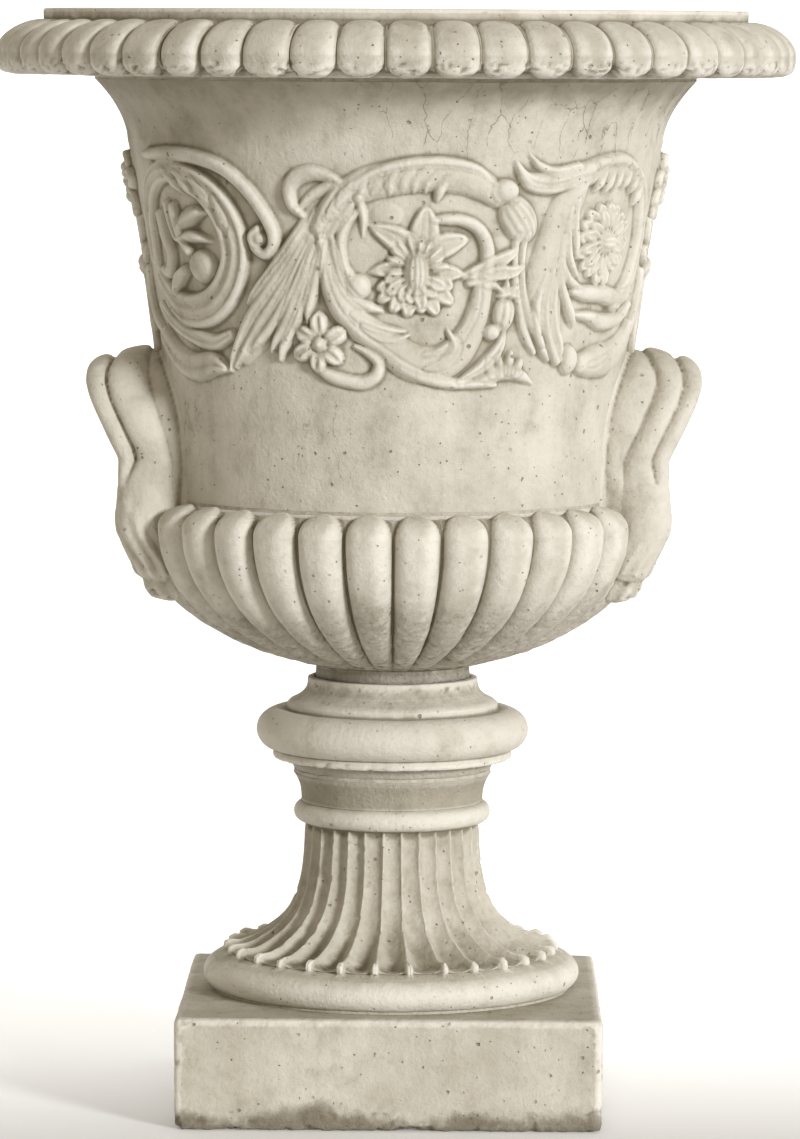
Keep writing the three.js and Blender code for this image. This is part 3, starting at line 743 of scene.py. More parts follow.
def pedestal_section():
    """Half section from the foot moulding up to the neck's top and back down the bore."""
    base, top = PEDESTAL_BASE, PEDESTAL_TOP
    foot = arc((RIB_FOOT_RADIUS - 4, base + 11), (FOOT_RADIUS - RIB_FOOT_RADIUS + 4, 16.5), -43, 86, 16)
    skirt = [(RIB_FOOT_RADIUS - 2.5, base + 27.6), (RIB_FOOT_RADIUS - 1.5, RIB_FOOT + 0.6),
             (RIB_FOOT_RADIUS - 0.6, STEM_FOOT - 3), (float(stem_radius(STEM_FOOT)), STEM_FOOT - 1)]
    stem = [(float(stem_radius(z)), z) for z in np.linspace(STEM_FOOT, STEM_TOP, 40)]
    astragal = arc((WAIST_RADIUS + 1, ASTRAGAL_MIDDLE), (ASTRAGAL_HALF, ASTRAGAL_HALF), -78, 78, 12)
    neck_rise = top - ASTRAGAL_MIDDLE - ASTRAGAL_HALF
    neck = [
        (PEDESTAL_NECK_RADIUS + (PEDESTAL_TOP_RADIUS + 1.2 - PEDESTAL_NECK_RADIUS) * share ** 2.6,
         ASTRAGAL_MIDDLE + ASTRAGAL_HALF + 0.5 + share * (neck_rise - 0.5))
        for share in np.linspace(0, 1, 10)
    ]
    lower = refine(foot, 3.0) + refine(skirt + stem[:4], 1.2)
    upper = refine(stem[4:] + [(WAIST_RADIUS, WAIST_TOP)] + astragal + neck, 2.6)
    return lower + upper + refine([(BORE, top), (BORE, base)], 60)


def build_pedestal(sizes, finish):
    """Foot moulding, fluted stem with thin ribs that end in forked knobs, astragal and hollow neck."""
    base = PEDESTAL_BASE
    bm = turn_section(pedestal_section(), sizes.ribs * RIB_COLUMNS, sizes.ribs)
    points = crowd_to_grooves(points_of(bm), sizes.ribs, RIB_TURN)
    move_points(bm, points)
    normals = normals_of(bm)
    radius = radii(points)
    z = points[:, 2]
    across, _ = across_lobes(points, sizes.ribs, RIB_TURN)
    spread = np.clip((z - RIB_FOOT) / (STEM_TOP - RIB_FOOT), 0, 1)
    stray = value_noise(points, 14, 30) * 0.07 + value_noise(points, 5, 31) * 0.05 * spread
    across = (across + 1 + stray) % 2 - 1
    on_stem = (radius > WAIST_RADIUS * 0.9) & (z > base + 24.5) & (z < WAIST_TOP + 0.6)
    away = 1 - np.abs(across)
    rib = (0.17 - 0.05 * (1 - spread)) * (1 + value_noise(points, 4, 32) * 0.35)
    flute = np.clip((away - rib * 0.45) / (1 - rib * 0.45), 0, 1)
    flute = np.sin(flute * math.pi / 2) ** 0.62
    end = STEM_FOOT - 1.5 + 3.5 * (1 - away) ** 2
    fade = np.clip((z - end) / 3.5, 0, 1) * np.clip((WAIST_TOP + 0.4 - z) / 1.5, 0, 1)
    depth = flute * fade * (sizes.flute_depth / MM) * (1.1 - 0.55 * np.exp(-(z - STEM_FOOT) / 16))
    # Each rib ends in a small forked knob, and the flutes run out on the foot moulding between them
    at_foot = np.exp(-((z - STEM_FOOT + 0.6) / 3.4) ** 2)
    fork = np.exp(-((away - 0.12) / 0.11) ** 2) + 0.6 * np.exp(-(away / 0.1) ** 2)
    stalk = np.exp(-(away / 0.13) ** 2) * np.exp(-np.clip(z - STEM_FOOT, 0, None) / 9) * 1.2
    knob = fork * at_foot * 3.9 * (1 + 0.3 * value_noise(points, 8, 35)) + stalk * (z > STEM_FOOT - 3)
    points = points + normals * ((knob - depth) * on_stem)[:, None]
    floor_rise = np.clip(points[:, 2] - base - 27.6, 0, None)
    sink = np.minimum(7.6 * np.clip(1 - floor_rise / 38, 0, 1), floor_rise * 0.93)
    gap = np.clip((away - 0.2) / 0.8, 0, 1)
    points[:, 2] -= sink * np.sin(gap * math.pi / 2) ** 0.8 * on_stem
    points = weather(points, normals, sizes.wear / MM * 0.8, 33)
    nibbled = np.clip(value_noise(points, 5, 34) - 0.25, 0, 1) * (1 - flute) * on_stem
    points = points - normals * (nibbled * 1.8)[:, None]
    move_points(bm, points)
    material = stone_material("pedestal_stone", finish, tone=0.13, dark_band=PEDESTAL_DARK_BAND)
    make_piece("stone_pedestal", bm, material, ["pedestal"], hollows=0.8)


# Knop


def build_knop(sizes, finish):
    """Top of the hollow neck, ragged fillet, big torus, small fillet and hollow cap."""
    base, top = KNOP_BASE, KNOP_TOP
    outside = [(81.0, base), (82.8, base + 3.5), (85.2, base + 6.6), (88.5, base + 8.4), (96.6, base + 8.9),
               (98.4, base + 10.0), (98.9, base + 12.2), (98.5, base + 14.8), (97.6, base + 16.2)]
    outside += arc((KNOP_RADIUS - 17.5, base + 33.2), (17.5, 17.0), -80, 0, 12)[:-1]
    outside += arc((KNOP_RADIUS - 19.5, base + 33.2), (19.5, 17.2), 0, 82, 12)
    outside += [(88.6, base + 49.4), (87.4, base + 50.0), (86.9, base + 54.6), (85.4, base + 56.2)]
    outside += [(70.4 + 14.0 * (1 - share) ** 3.0, base + 57.2 + share * (top + 2.0 - base - 57.2))
                for share in np.linspace(0, 1, 10)]
    ledge = top + COLLAR_HEIGHT
    collar = [(70.0, ledge - 0.5), (69.0, ledge - 0.1), (65.4, ledge), (64.5, ledge - 0.5), (64.5, top)]
    bm = turn_section(refine(outside + collar, 2.4) + [(BORE, top), (BORE, base)], 240, 24)
    points, normals = weathered(bm, sizes, 1.0, 41)
    z = points[:, 2]
    outer = radii(points) > 60
    fillet = np.exp(-((z - base - 10) / 3.5) ** 2) + 0.5 * np.exp(-((z - top + 1.5) / 2.5) ** 2)
    chips = nicks(points, 9, 3, 0.7, 0.2, 42)
    points = points - normals * (chips * fillet * outer * 2.8)[:, None]
    move_points(bm, points)
    # A negative tone draws the knop lighter: painted light against the shade under the bowl
    material = stone_material("knop_stone", finish, tone=-0.17, dark_band=KNOP_DARK_BAND)
    make_piece("stone_knop", bm, material, ["knop"], hollows=0.75)


# Bowl


def build_bowl(sizes, finish):
    """The underside of the vase: long convex lobes with round tops over a rough neck ring."""
    base, top = BOWL_BASE, BOWL_TOP
    low = base + BOWL_NECK_HEIGHT
    widest = top - BOWL_SHOULDER
    flat = math.sqrt(1 - (BOWL_NECK_RADIUS / BOWL_RADIUS) ** 2)
    deep = sizes.bowl_lobe_depth / MM
    rows = []
    for share in np.linspace(0.0, 1, 52) ** 1.4:
        down = (1 - share) * flat
        radius = BOWL_RADIUS * math.sqrt(1 - down * down)
        z = low + share * (widest - low)
        depth = deep * (radius / BOWL_RADIUS) ** 1.1 * min(1, share * 8 + 0.1)
        groove = (radius - depth * math.sqrt(1 - down * down), z + depth * down)
        rows.append(((radius, z), groove, 0.96 + 0.01 * (1 - share), 2.5))
    ledge = BOWL_RADIUS - BELL_FOOT_RADIUS
    shoulder = BOWL_SHOULDER + 1.5
    for angle in np.linspace(3, 87, 24):
        cosine, sine = math.cos(math.radians(angle)), math.sin(math.radians(angle))
        crest = (BELL_FOOT_RADIUS + ledge * cosine, widest + shoulder * sine)
        groove = (BELL_FOOT_RADIUS + (ledge - deep) * cosine, widest + (shoulder - 4) * sine)
        rows.append((crest, groove, 0.96 * cosine ** 0.36, 2.5 + 0.9 * sine))
    floor = base + BOWL_FLOOR
    bowl_inside = BELL_FOOT_RADIUS - WALL
    inner = arc((FLOOR_RADIUS, top), (bowl_inside - FLOOR_RADIUS, floor - top), 0, 90, 14)
    narrow = BOWL_NECK_RADIUS
    neck = [(narrow - 1.5, base), (narrow, base + 1), (narrow - 0.5, low - 0.8)]
    wall = [(BELL_FOOT_RADIUS + 0.2, top - 3), (BELL_FOOT_RADIUS, top)]
    rest = wall + inner + [(BORE, floor), (BORE, base)] + neck
    bm, outer = lobed_ring(rows, rest, sizes.bowl_lobes, 0, BOWL_COLUMNS, uneven=0.1, seed=51)
    points, normals = weathered(bm, sizes, 1.0, 52)
    lower = np.clip((430 - points[:, 2]) / 40, 0, 1) * outer
    points = points + normals * (value_noise(points, 5, 53) * lower * 0.6)[:, None]
    ring = np.exp(-((points[:, 2] - base - 5) / 5) ** 2) * (radii(points) > 50)
    points = points - normals * (np.clip(value_noise(points, 5, 54) - 0.1, 0, 1) * ring * 2.2)[:, None]
    move_points(bm, points)
    material = stone_material("bowl_stone", finish, rough_below=BOWL_CRUMBLY_BELOW, dark_band=BOWL_DARK_BAND)
    make_piece("stone_bowl", bm, material, ["gadrooned_bowl"], hollows=1.2)


# Bell body


def wall_radius(z):
    """Outer radius of the bell at a height, both in millimetres."""
    rise = np.clip((z - BODY_BASE) / (NECK_LEVEL - BODY_BASE), 0, 1)
    flare = np.clip((z - NECK_LEVEL) / NECK_FLARE_HEIGHT, 0, 1)
    return (BELL_FOOT_RADIUS + (BELL_NECK_RADIUS - BELL_FOOT_RADIUS) * rise ** BELL_CURVE
            + (BELL_TOP_RADIUS - BELL_NECK_RADIUS) * flare ** NECK_FLARE_CURVE)


def build_bell(sizes, finish):
    """The bell, plain below and flaring at the neck, with a shallow bed for the frieze."""
    section = []
    for start, end, count, sunk in (
        (BODY_BASE, FRIEZE_LOW, 30, 0), (FRIEZE_LOW, FRIEZE_HIGH, 12, FRIEZE_BED),
        (FRIEZE_HIGH, BODY_TOP, 18, 0), (BODY_TOP, BODY_BASE, 24, WALL),
    ):
        section += [(float(wall_radius(z)) - sunk, z) for z in np.linspace(start, end, count)]
    bm = turn_section(section, 320, 16)
    points = points_of(bm)
    z = points[:, 2]
    clear = np.clip(np.minimum(np.abs(z - FRIEZE_LOW), np.abs(z - FRIEZE_HIGH)) / 8, 0, 1)
    amount = clear * (radii(points) > wall_radius(z) - 1)
    worn, _ = weathered(bm, sizes, 0.9, 61)
    points = points + (worn - points) * amount[:, None]
    move_points(bm, points)
    sharpen(bm, 50)
    material = stone_material("bell_stone", finish, on_bell=True)
    make_piece("stone_bell", bm, material, ["bell_body"], hollows=0)


# Frieze


class Relief:
    """Heights of the ornament above the bell's wall, on a flat map of half the way round.

    A form's height is given as a share of high, which is how far a plain stem stands out."""

    def __init__(self, high):
        self.high = high
        half = HALF_ROUND / 2 + FRIEZE_MARGIN
        columns = math.ceil(2 * half / FRIEZE_CELL)
        rows = math.ceil((FRIEZE_HIGH - FRIEZE_LOW) / FRIEZE_CELL)
        self.along = np.linspace(-half, half, columns + 1)
        self.up = np.linspace(FRIEZE_LOW, FRIEZE_HIGH, rows + 1)
        self.height = np.zeros((rows + 1, columns + 1))

    def window(self, low, high):
        """The part of the map between two corners, as slices and coordinates."""
        left, right = np.searchsorted(self.along, (low[0], high[0]))
        bottom, top = np.searchsorted(self.up, (low[1], high[1]))
        place = (slice(bottom, top), slice(left, right))
        u, z = np.meshgrid(self.along[place[1]], self.up[place[0]])
        return place, u, z

    def lay(self, place, inside, height, edge, rise):
        """Sets a form on the map. Edge is how far outside the form each point lies."""
        ground = self.height[place]
        cut = np.exp(-(np.clip(edge, 0, None) / 1.6) ** 2) * np.clip(0.1 + 0.2 * ground, 0, 1.6) * rise
        ground = np.where(inside, ground, np.maximum(ground - cut, -0.5))
        self.height[place] = np.where(inside, np.maximum(ground, height * rise), ground)

    def stroke(self, path, height, section="round", lift=0.0, ribs=3, ease=0.0):
        """A stem, leaf or petal along a path of points, each with its half width.

        It rises out of what lies under it over the share of its length that ease gives."""
        path = smooth_path(np.array(path, float))
        margin = path[:, 2].max() + 6
        low = path[:, :2].min(axis=0) - margin
        high = path[:, :2].max(axis=0) + margin
        place, u, z = self.window(low, high)
        nearest = np.full(u.shape, 1e9)
        width = np.ones(u.shape)
        side = np.zeros(u.shape)
        travel = np.zeros(u.shape)
        for number, ((ua, za, wa), (ub, zb, wb)) in enumerate(zip(path, path[1:])):
            du, dz = ub - ua, zb - za
            length = max(du * du + dz * dz, 1e-9)
            share = np.clip(((u - ua) * du + (z - za) * dz) / length, 0, 1)
            local = wa + (wb - wa) * share
            distance = np.hypot(u - ua - share * du, z - za - share * dz)
            closer = distance - local < nearest
            nearest = np.where(closer, distance - local, nearest)
            width = np.where(closer, local, width)
            turn = du * (z - za) - dz * (u - ua)
            side = np.where(closer, np.where(turn > 0, distance, -distance), side)
            travel = np.where(closer, (number + share) / (len(path) - 1), travel)
        x = np.clip(side / np.maximum(width, 0.3), -1, 1)
        if section == "round":
            shape = np.clip(1 - np.abs(x) ** 2.2, 0, 1) ** 0.6
        elif section == "keel":
            shape = 0.5 * np.clip(1 - x * x, 0, 1) ** 0.6 + 0.5 * (1 - np.abs(x))
        elif section == "hollow":
            shape = np.clip(1 - x ** 6, 0, 1) ** 0.6 * (0.6 + 0.4 * np.abs(x) ** 1.5)
        else:
            grooves = np.abs(np.sin(math.pi * ribs * (x + 1) / 2)) ** 0.6
            shape = np.clip(1 - np.abs(x) ** 3, 0, 1) ** 0.6 * (0.7 + 0.3 * grooves)
        full = min(1.0, 0.4 + path[:, 2].max() / 10)
        slim = np.clip(width / 4.5, 0.25, 1) ** 0.6
        rise = eased(np.clip(travel / ease, 0, 1)) if ease else 1.0
        raised = self.high * height * shape * full * slim + lift
        self.lay(place, nearest < 0, raised, nearest, rise)

    def lobe(self, root, tip, widths, height, lift):
        """A short lobe with its half widths at the root, the middle and the tip."""
        middle = ((root[0] + tip[0]) / 2, (root[1] + tip[1]) / 2)
        self.stroke([(*root, widths[0]), (*middle, widths[1]), (*tip, widths[2])], height, lift=lift)

    def dome(self, centre, halves, height, turn=0.0, flutes=0, lift=0.0):
        """A bead, pod or flower's middle, plain or with flutes along its length."""
        margin = max(halves) + 6
        place, u, z = self.window(
            (centre[0] - margin, centre[1] - margin), (centre[0] + margin, centre[1] + margin)
        )
        cosine, sine = math.cos(math.radians(turn)), math.sin(math.radians(turn))
        along = (u - centre[0]) * cosine + (z - centre[1]) * sine
        across = (z - centre[1]) * cosine - (u - centre[0]) * sine
        inside = np.hypot(along / halves[0], across / halves[1])
        shape = np.clip(1 - inside ** 2.2, 0, 1) ** 0.6
        if flutes:
            belly = np.sqrt(np.clip(1 - (along / halves[0]) ** 2, 0.06, 1))
            spread = np.clip(across / (halves[1] * belly), -1, 1)
            ridges = np.abs(np.sin(math.pi * flutes * (spread + 1) / 2)) ** 0.6
            shape = shape * (0.8 + 0.2 * ridges)
        self.lay(place, inside < 1, self.high * height * shape + lift, (inside - 1) * min(halves), 1.0)

    def petals(self, centre, angles, inner, outer, width, height, section="keel", lift=0.0, seed=1):
        """A fan of small petals round a centre, angles in degrees, each a little different."""
        random = np.random.default_rng(seed)
        for angle in angles:
            turned = math.radians(angle + random.uniform(-4, 4))
            tip = outer * random.uniform(0.9, 1.1)
            rows = []
            for share, half in ((0.0, 0.55), (0.35, 0.9), (0.7, 1.0), (0.93, 0.5), (1.0, 0.12)):
                distance = inner + (tip - inner) * share
                rows.append((centre[0] + distance * math.cos(turned),
                             centre[1] + distance * math.sin(turned), width * half))
            self.stroke(rows, height * random.uniform(0.9, 1.1), section, lift)

    def soften(self, passes):
        """Wears the edges down a little."""
        for _ in range(passes):
            padded = np.pad(self.height, 1, mode="edge")
            self.height = (
                4 * self.height + padded[:-2, 1:-1] + padded[2:, 1:-1]
                + padded[1:-1, :-2] + padded[1:-1, 2:]
            ) / 8


def smooth_path(path):
    """Points every couple of millimetres on a smooth curve through the given ones."""
    ends = np.vstack([2 * path[0] - path[1], path, 2 * path[-1] - path[-2]])
    fine = []
    for k in range(1, len(ends) - 2):
        before, start, end, after = ends[k - 1:k + 3]
        steps = max(2, int(np.hypot(*(end - start)[:2]) / 2.5))
        for i in range(steps):
            t = i / steps
            fine.append(0.5 * (2 * start + (end - before) * t
                               + (2 * before - 5 * start + 4 * end - after) * t * t
                               + (3 * start - before - 3 * end + after) * t ** 3))
    fine.append(path[-1])
    fine = np.array(fine)
    fine[:, 2] = np.clip(fine[:, 2], 0.3, None)
    return fine


def beside(path, share, half):
    """A path along another one, off its middle and as wide as shares of the other's half width."""
    points = np.array(path, float)
    ahead = np.gradient(points[:, :2], axis=0)
    ahead /= np.linalg.norm(ahead, axis=1)[:, None]
    across = np.stack([-ahead[:, 1], ahead[:, 0]], axis=1)
    moved = points[:, :2] + across * (points[:, 2] * share)[:, None]
    return np.column_stack([moved, points[:, 2] * half])


def carve_middle_ring(relief):
    """The tendril inside the ring and the ring itself, broad below and thin above."""
    stroke = relief.stroke
    stroke([(-28, 742, 3), (-38, 732, 5), (-43, 715, 5), (-41, 698, 5), (-36, 688, 6), (-31, 681, 7)],
           0.7)
    relief.dome((-30, 681), (11, 10.5), 0.95)
    relief.dome((-6, 738), (12, 10), 0.3)
    stroke([(-50, 722, 3), (-47, 700, 5), (-44, 683, 6.5), (-34, 669, 6.5), (-20, 665, 4.5),
            (-10, 662, 1.5)], 0.75)
    stroke([(-57, 720, 5), (-56, 700, 7), (-52, 681, 8.5), (-43, 664, 10.5), (-28, 650, 12.5), (-8, 636, 14),
            (13, 622, 15), (35, 619, 15), (53, 629, 14), (64, 645, 12), (70, 664, 10), (73, 684, 8.5),
            (75, 700, 7), (73, 716, 6), (65, 728, 5.5), (53, 734, 5), (40, 735, 4.5), (28, 734, 3)], 1.0)
    stroke([(-56, 712, 2.6), (-57, 694, 3), (-53, 675, 3.2), (-45, 659, 3.4), (-30, 643, 3.6), (-10, 629, 4),
            (12, 614, 4.6), (38, 606, 5), (62, 604, 4.5), (88, 603, 2.5)], 0.95, lift=0.4)
    stroke([(-34, 660, 2), (-20, 651, 4), (-4, 647, 3.5), (9, 646, 1)], 0.9, lift=1.2)
    stroke([(-26, 650, 2), (-12, 642, 4), (2, 640, 3), (12, 643, 1)], 0.9, lift=1.6)
    stroke([(66, 690, 2), (66, 672, 3.2), (61, 655, 3.8), (51, 640, 4), (38, 631, 3.4), (24, 628, 1.5)],
           0.95, lift=0.9)
    stroke([(44, 647, 1.5), (50, 634, 4.5), (41, 621, 5), (26, 616, 2)], 1.0, lift=0.9)


def carve_fan(relief):
    """The leaf that hooks over the horn, and the fan of long leaves down to the left."""
    stroke = relief.stroke
    stroke([(-72, 737, 3), (-80, 745, 5), (-82, 757, 6), (-76, 767, 7), (-63, 771, 6.5), (-50, 768, 5),
            (-38, 762, 3)], 0.75)
    stroke([(-76, 741, 2), (-66, 752, 4), (-52, 760, 5), (-38, 764, 4)], 0.6)
    stroke([(-58, 736, 9), (-76, 704, 14), (-95, 675, 18), (-114, 650, 16), (-136, 624, 8)], 0.55)
    fan = (
        [(-62, 744, 5), (-80, 717, 6.5), (-100, 693, 6.5), (-116, 677, 5.5), (-127, 666, 2)],
        [(-59, 740, 4.5), (-80, 707, 6), (-103, 680, 7), (-124, 655, 7), (-140, 631, 5.5),
         (-152, 611, 1.5)],
        [(-57, 737, 4.5), (-77, 701, 5.5), (-96, 674, 6.5), (-115, 651, 7), (-131, 630, 5),
         (-146, 614, 1.5)],
        [(-56, 734, 4.5), (-73, 698, 5.5), (-88, 672, 6), (-103, 651, 6), (-117, 637, 4.5),
         (-127, 628, 1.5)],
        [(-55, 731, 4), (-66, 697, 5), (-75, 672, 5.5), (-85, 650, 6), (-94, 634, 5), (-99, 622, 2)],
        [(-55, 732, 4), (-70, 697, 5), (-82, 671, 5.5), (-93, 649, 5.5), (-102, 636, 4), (-107, 628, 1.5)],
        [(-54, 729, 3.5), (-61, 698, 4.5), (-67, 676, 5), (-71, 662, 4), (-73, 651, 1.5)],
    )
    for number, leaf in enumerate(fan):
        stroke(leaf, 0.92 + 0.05 * (number % 2), lift=0.3, ease=0.3)


def carve_horn(relief):
    """The horn that arches to the right, with ragged lobes under its edge."""
    stroke = relief.stroke
    stroke([(-58, 728, 8), (-45, 747, 11), (-25, 761, 13), (0, 768, 14), (25, 771, 14.5), (50, 769, 14),
            (68, 761, 11.5), (80, 752, 8)], 1.02)
    for start, middle, tip, half in (
        ((-34, 770), (-40, 752), (-50, 735), 5), ((-22, 775), (-34, 760), (-42, 744), 5),
        ((-10, 779), (-22, 764), (-28, 748), 5.2), ((0, 782), (-12, 768), (-17, 755), 4.8),
        ((10, 783), (-2, 769), (-4, 755), 5), ((20, 782), (7, 768), (6, 757), 4.6),
        ((28, 779), (17, 767), (14, 757), 4.6), ((38, 776), (26, 765), (23, 757), 4.4),
        ((48, 772), (36, 762), (32, 750), 4.6),
    ):
        stroke([(*start, 2), (*middle, half), (tip[0] * 0.75 + middle[0] * 0.25, tip[1] + 5, half * 0.85),
                (*tip, half * 0.35)], 1.02, lift=1.0, ease=0.45)
    stroke([(-52, 735, 3), (-40, 752, 4), (-20, 769, 4.5), (5, 778, 4.5), (35, 780, 5), (60, 775, 4),
            (76, 763, 2)], 1.05, lift=1.0)
    stroke([(-27, 750, 4), (-24, 736, 3.6), (-25, 721, 1)], 0.9)
    stroke([(-52, 722, 4), (-42, 736, 5), (-33, 745, 3)], 0.75)


def carve_pod(relief):
    """The knuckle and the fluted pod at the horn's end, on a channelled stem."""
    stroke = relief.stroke
    relief.dome((99, 735), (22, 15), 1.35, turn=-54, flutes=5)
    relief.dome((85, 757), (12, 10), 1.4)
    stroke([(99, 720, 3.5), (99, 704, 3.5), (101, 685, 4), (106, 664, 4.5), (113, 645, 4.5), (124, 628, 3)],
           0.8)
    stroke([(107, 722, 3), (106, 704, 3), (108, 685, 3), (112, 668, 3.5), (119, 650, 4), (130, 634, 3)],
           0.8, lift=0.3)


def carve_foot_leaves(relief):
    """Leaves, a bud and a bead at the foot of the stem."""
    stroke = relief.stroke
    stroke([(60, 684, 3), (70, 686, 5), (81, 683, 4), (89, 678, 1.2)], 0.9, lift=0.6)
    stroke([(56, 690, 3), (68, 694, 6), (82, 700, 6.5), (93, 706, 4.5), (100, 711, 1.5)],
           0.95, "hollow", lift=0.8)
    stroke([(70, 690, 3), (84, 692, 6), (97, 693, 5), (107, 697, 1.5)], 0.95, "hollow", lift=1.2)
    stroke([(94, 645, 2.5), (88, 630, 6), (74, 616, 6), (54, 606, 2)], 0.8, "ribs", ribs=2)
    stroke([(125, 603, 1.5), (112, 610, 5.5), (98, 613, 7), (82, 609, 5.5), (62, 603, 2)], 0.8)
    for root, tip in (((92, 612), (90, 626)), ((99, 614), (102, 628)), ((106, 612), (112, 622)),
                      ((84, 612), (80, 622))):
        relief.lobe(root, tip, (4.5, 5, 2.5), 0.7, lift=0.5)
    relief.dome((92, 659), (15, 10.5), 1.15, turn=83, flutes=3)
    for turn, length in ((95, 14), (35, 13), (150, 12), (-10, 11), (190, 9)):
        turned = math.radians(turn)
        stroke([(94 + d * math.cos(turned), 675 + d * math.sin(turned), w)
                for d, w in ((1, 3), (length * 0.5, 3.4), (length, 0.6))], 1.0, "keel", lift=1.2)
    relief.dome((82, 645), (8, 7), 1.05)


def carve_middle_scroll(relief):
    """The scroll at the front: ring, acanthus horn, pod, small flower and big flower."""
    for carve in (carve_middle_ring, carve_fan, carve_horn, carve_pod, carve_foot_leaves):
        carve(relief)
    relief.stroke([(-66, 617, 4), (-54, 610, 5.5), (-40, 606, 5.8), (-25, 605, 6), (-15, 611, 6),
                   (-13, 621, 5), (-22, 629, 3.5), (-33, 634, 2)], 0.85)
    carve_small_flower(relief, (-62, 635))
    carve_big_flower(relief, (17, 692))


def carve_small_flower(relief, centre):
    """Six creased petals round a ring and a button."""
    for angle, length in ((93, 25), (150, 22), (203, 25), (262, 22), (322, 22), (28, 24)):
        turned = math.radians(angle)
        for side in (-1, 1):
            rows = [(centre[0] + d * math.cos(turned) - side * s * math.sin(turned),
                     centre[1] + d * math.sin(turned) + side * s * math.cos(turned), w)
                    for d, s, w in ((5, 0.8, 2.5), (length * 0.5, 3.2, 4.4), (length * 0.8, 3, 3.8),
                                    (length, 0.6, 1.5))]
            relief.stroke(rows, 1.1, lift=1.2)
    relief.dome(centre, (6.5, 6.5), 1.2, lift=1.4)
    relief.dome(centre, (2.4, 2.4), 0.9, lift=3.2)


def carve_big_flower(relief, centre):
    """Three broad sepals, a fan of small petals, a frilled lower lip and a fluted boss."""
    along, up = centre
    stroke = relief.stroke
    sepals = (
        [(6, 18, 8), (6, 30, 12), (6.5, 40, 9.5), (6.5, 48, 5), (6, 53, 0.8)],
        [(-2, 18, 7), (-10, 24, 10.5), (-20, 30, 8.5), (-29, 34.5, 5), (-37, 38, 0.8)],
        [(12, 16, 7), (21, 22, 10), (30, 25, 7.5), (36, 26.5, 4.5), (41, 27, 0.8)],
        [(-8, 2, 5), (-18, 3, 7), (-28, 2.5, 5), (-38, 1, 0.8)],
        [(14, -2, 5), (24, 0, 7), (32, 0, 4.5), (41, -2, 0.8)],
    )
    for number, sepal in enumerate(sepals):
        rows = [(along + du, up + dz, w) for du, dz, w in sepal]
        stroke(rows, 0.75 if number < 3 else 0.85, "hollow", lift=1.0)
        stroke([(u, z, w * 0.16 + 0.4) for u, z, w in rows], 0.62, lift=1.6)
    for angle, inner, outer, width in (
        (-160, 12, 31, 5.5), (-142, 12, 34, 5.5), (-122, 14, 32, 6), (-103, 14, 34, 6), (-83, 14, 32, 6),
        (-62, 14, 34, 6), (-42, 12, 36, 6), (-22, 12, 34, 5.5),
    ):
        relief.petals(centre, (angle,), inner, outer, width, 1.0, "hollow", lift=1.2, seed=angle + 200)
    relief.petals(centre, range(-168, -8, 23), 8, 25, 5.2, 1.2, "hollow", lift=2.2, seed=6)
    relief.petals((along, up + 4), range(4, 186, 20), 8, 24, 3.6, 1.15, "keel", lift=1.8, seed=7)
    relief.dome((along, up), (17, 11), 1.65, turn=90, flutes=5, lift=0.8)


def carve_left_scroll(relief):
    """The scroll on the left: thin stem and volute, acanthus ring and trumpet flower."""
    stroke = relief.stroke
    ring = [(-252, 700, 9), (-250, 730, 10), (-236, 757, 10), (-212, 770, 10), (-185, 767, 11),
            (-160, 755, 13), (-143, 736, 14), (-136, 714, 14), (-139, 694, 14), (-152, 674, 15),
            (-172, 661, 15), (-198, 658, 14), (-222, 666, 12), (-242, 682, 9)]
    stroke([(-148, 640, 5), (-170, 633, 7), (-198, 638, 8), (-228, 648, 8), (-250, 660, 5)],
           0.75, "ribs", ribs=2)
    stroke([(-153, 612, 2), (-172, 616, 10), (-198, 612, 12), (-226, 618, 12), (-252, 634, 10)],
           0.85, "ribs", ribs=2)
    stroke(ring, 0.92)
    for share, half, lift in ((-0.62, 0.36, 0.5), (0.66, 0.34, 0.4), (0.05, 0.34, 1.0)):
        stroke(beside(ring, share, half), 0.92, lift=lift)
    for start, middle, tip in (
        ((-206, 771), (-196, 762), (-186, 752)), ((-190, 769), (-178, 757), (-166, 750)),
        ((-172, 764), (-160, 750), (-150, 742)), ((-150, 750), (-143, 733), (-141, 722)),
    ):
        stroke([(*start, 3), (*middle, 5), (*tip, 1.2)], 0.95, lift=1.3)
    stroke([(-232, 783, 5), (-195, 784, 6.5), (-165, 781.5, 6.5), (-140, 774, 6.5), (-121, 760, 6.5),
            (-107, 742, 6.5), (-98, 724, 6.5), (-99, 711, 6), (-107, 706, 5), (-115, 711, 5), (-117, 720, 5),
            (-111, 726, 4)], 1.0)
    relief.dome((-112, 718), (8, 7), 0.9)
    stroke([(-200, 722, 5), (-188, 731, 9), (-174, 737, 6), (-163, 738, 1.5)], 0.95, "keel", lift=0.5)
    stroke([(-200, 715, 4), (-183, 718, 5.5), (-160, 715, 1.5)], 1.1, "keel", lift=1.2)
    relief.dome((-174, 694), (17, 14), 1.2)
    stroke([(-203, 742, 4), (-200, 728, 6), (-196, 716, 5), (-188, 706, 5)], 1.0)
    stroke([(-214, 744, 4), (-210, 728, 5), (-206, 716, 4)], 0.85)
    stroke([(-226, 735, 5), (-222, 716, 7), (-216, 702, 5), (-224, 688, 6), (-234, 690, 4)], 0.9)
    stroke([(-215, 672, 3), (-209, 682, 7), (-198, 690, 5)], 1.0, lift=0.6)
    stroke([(-262, 640, 4), (-280, 650, 6), (-292, 668, 6), (-290, 688, 4)], 0.7)


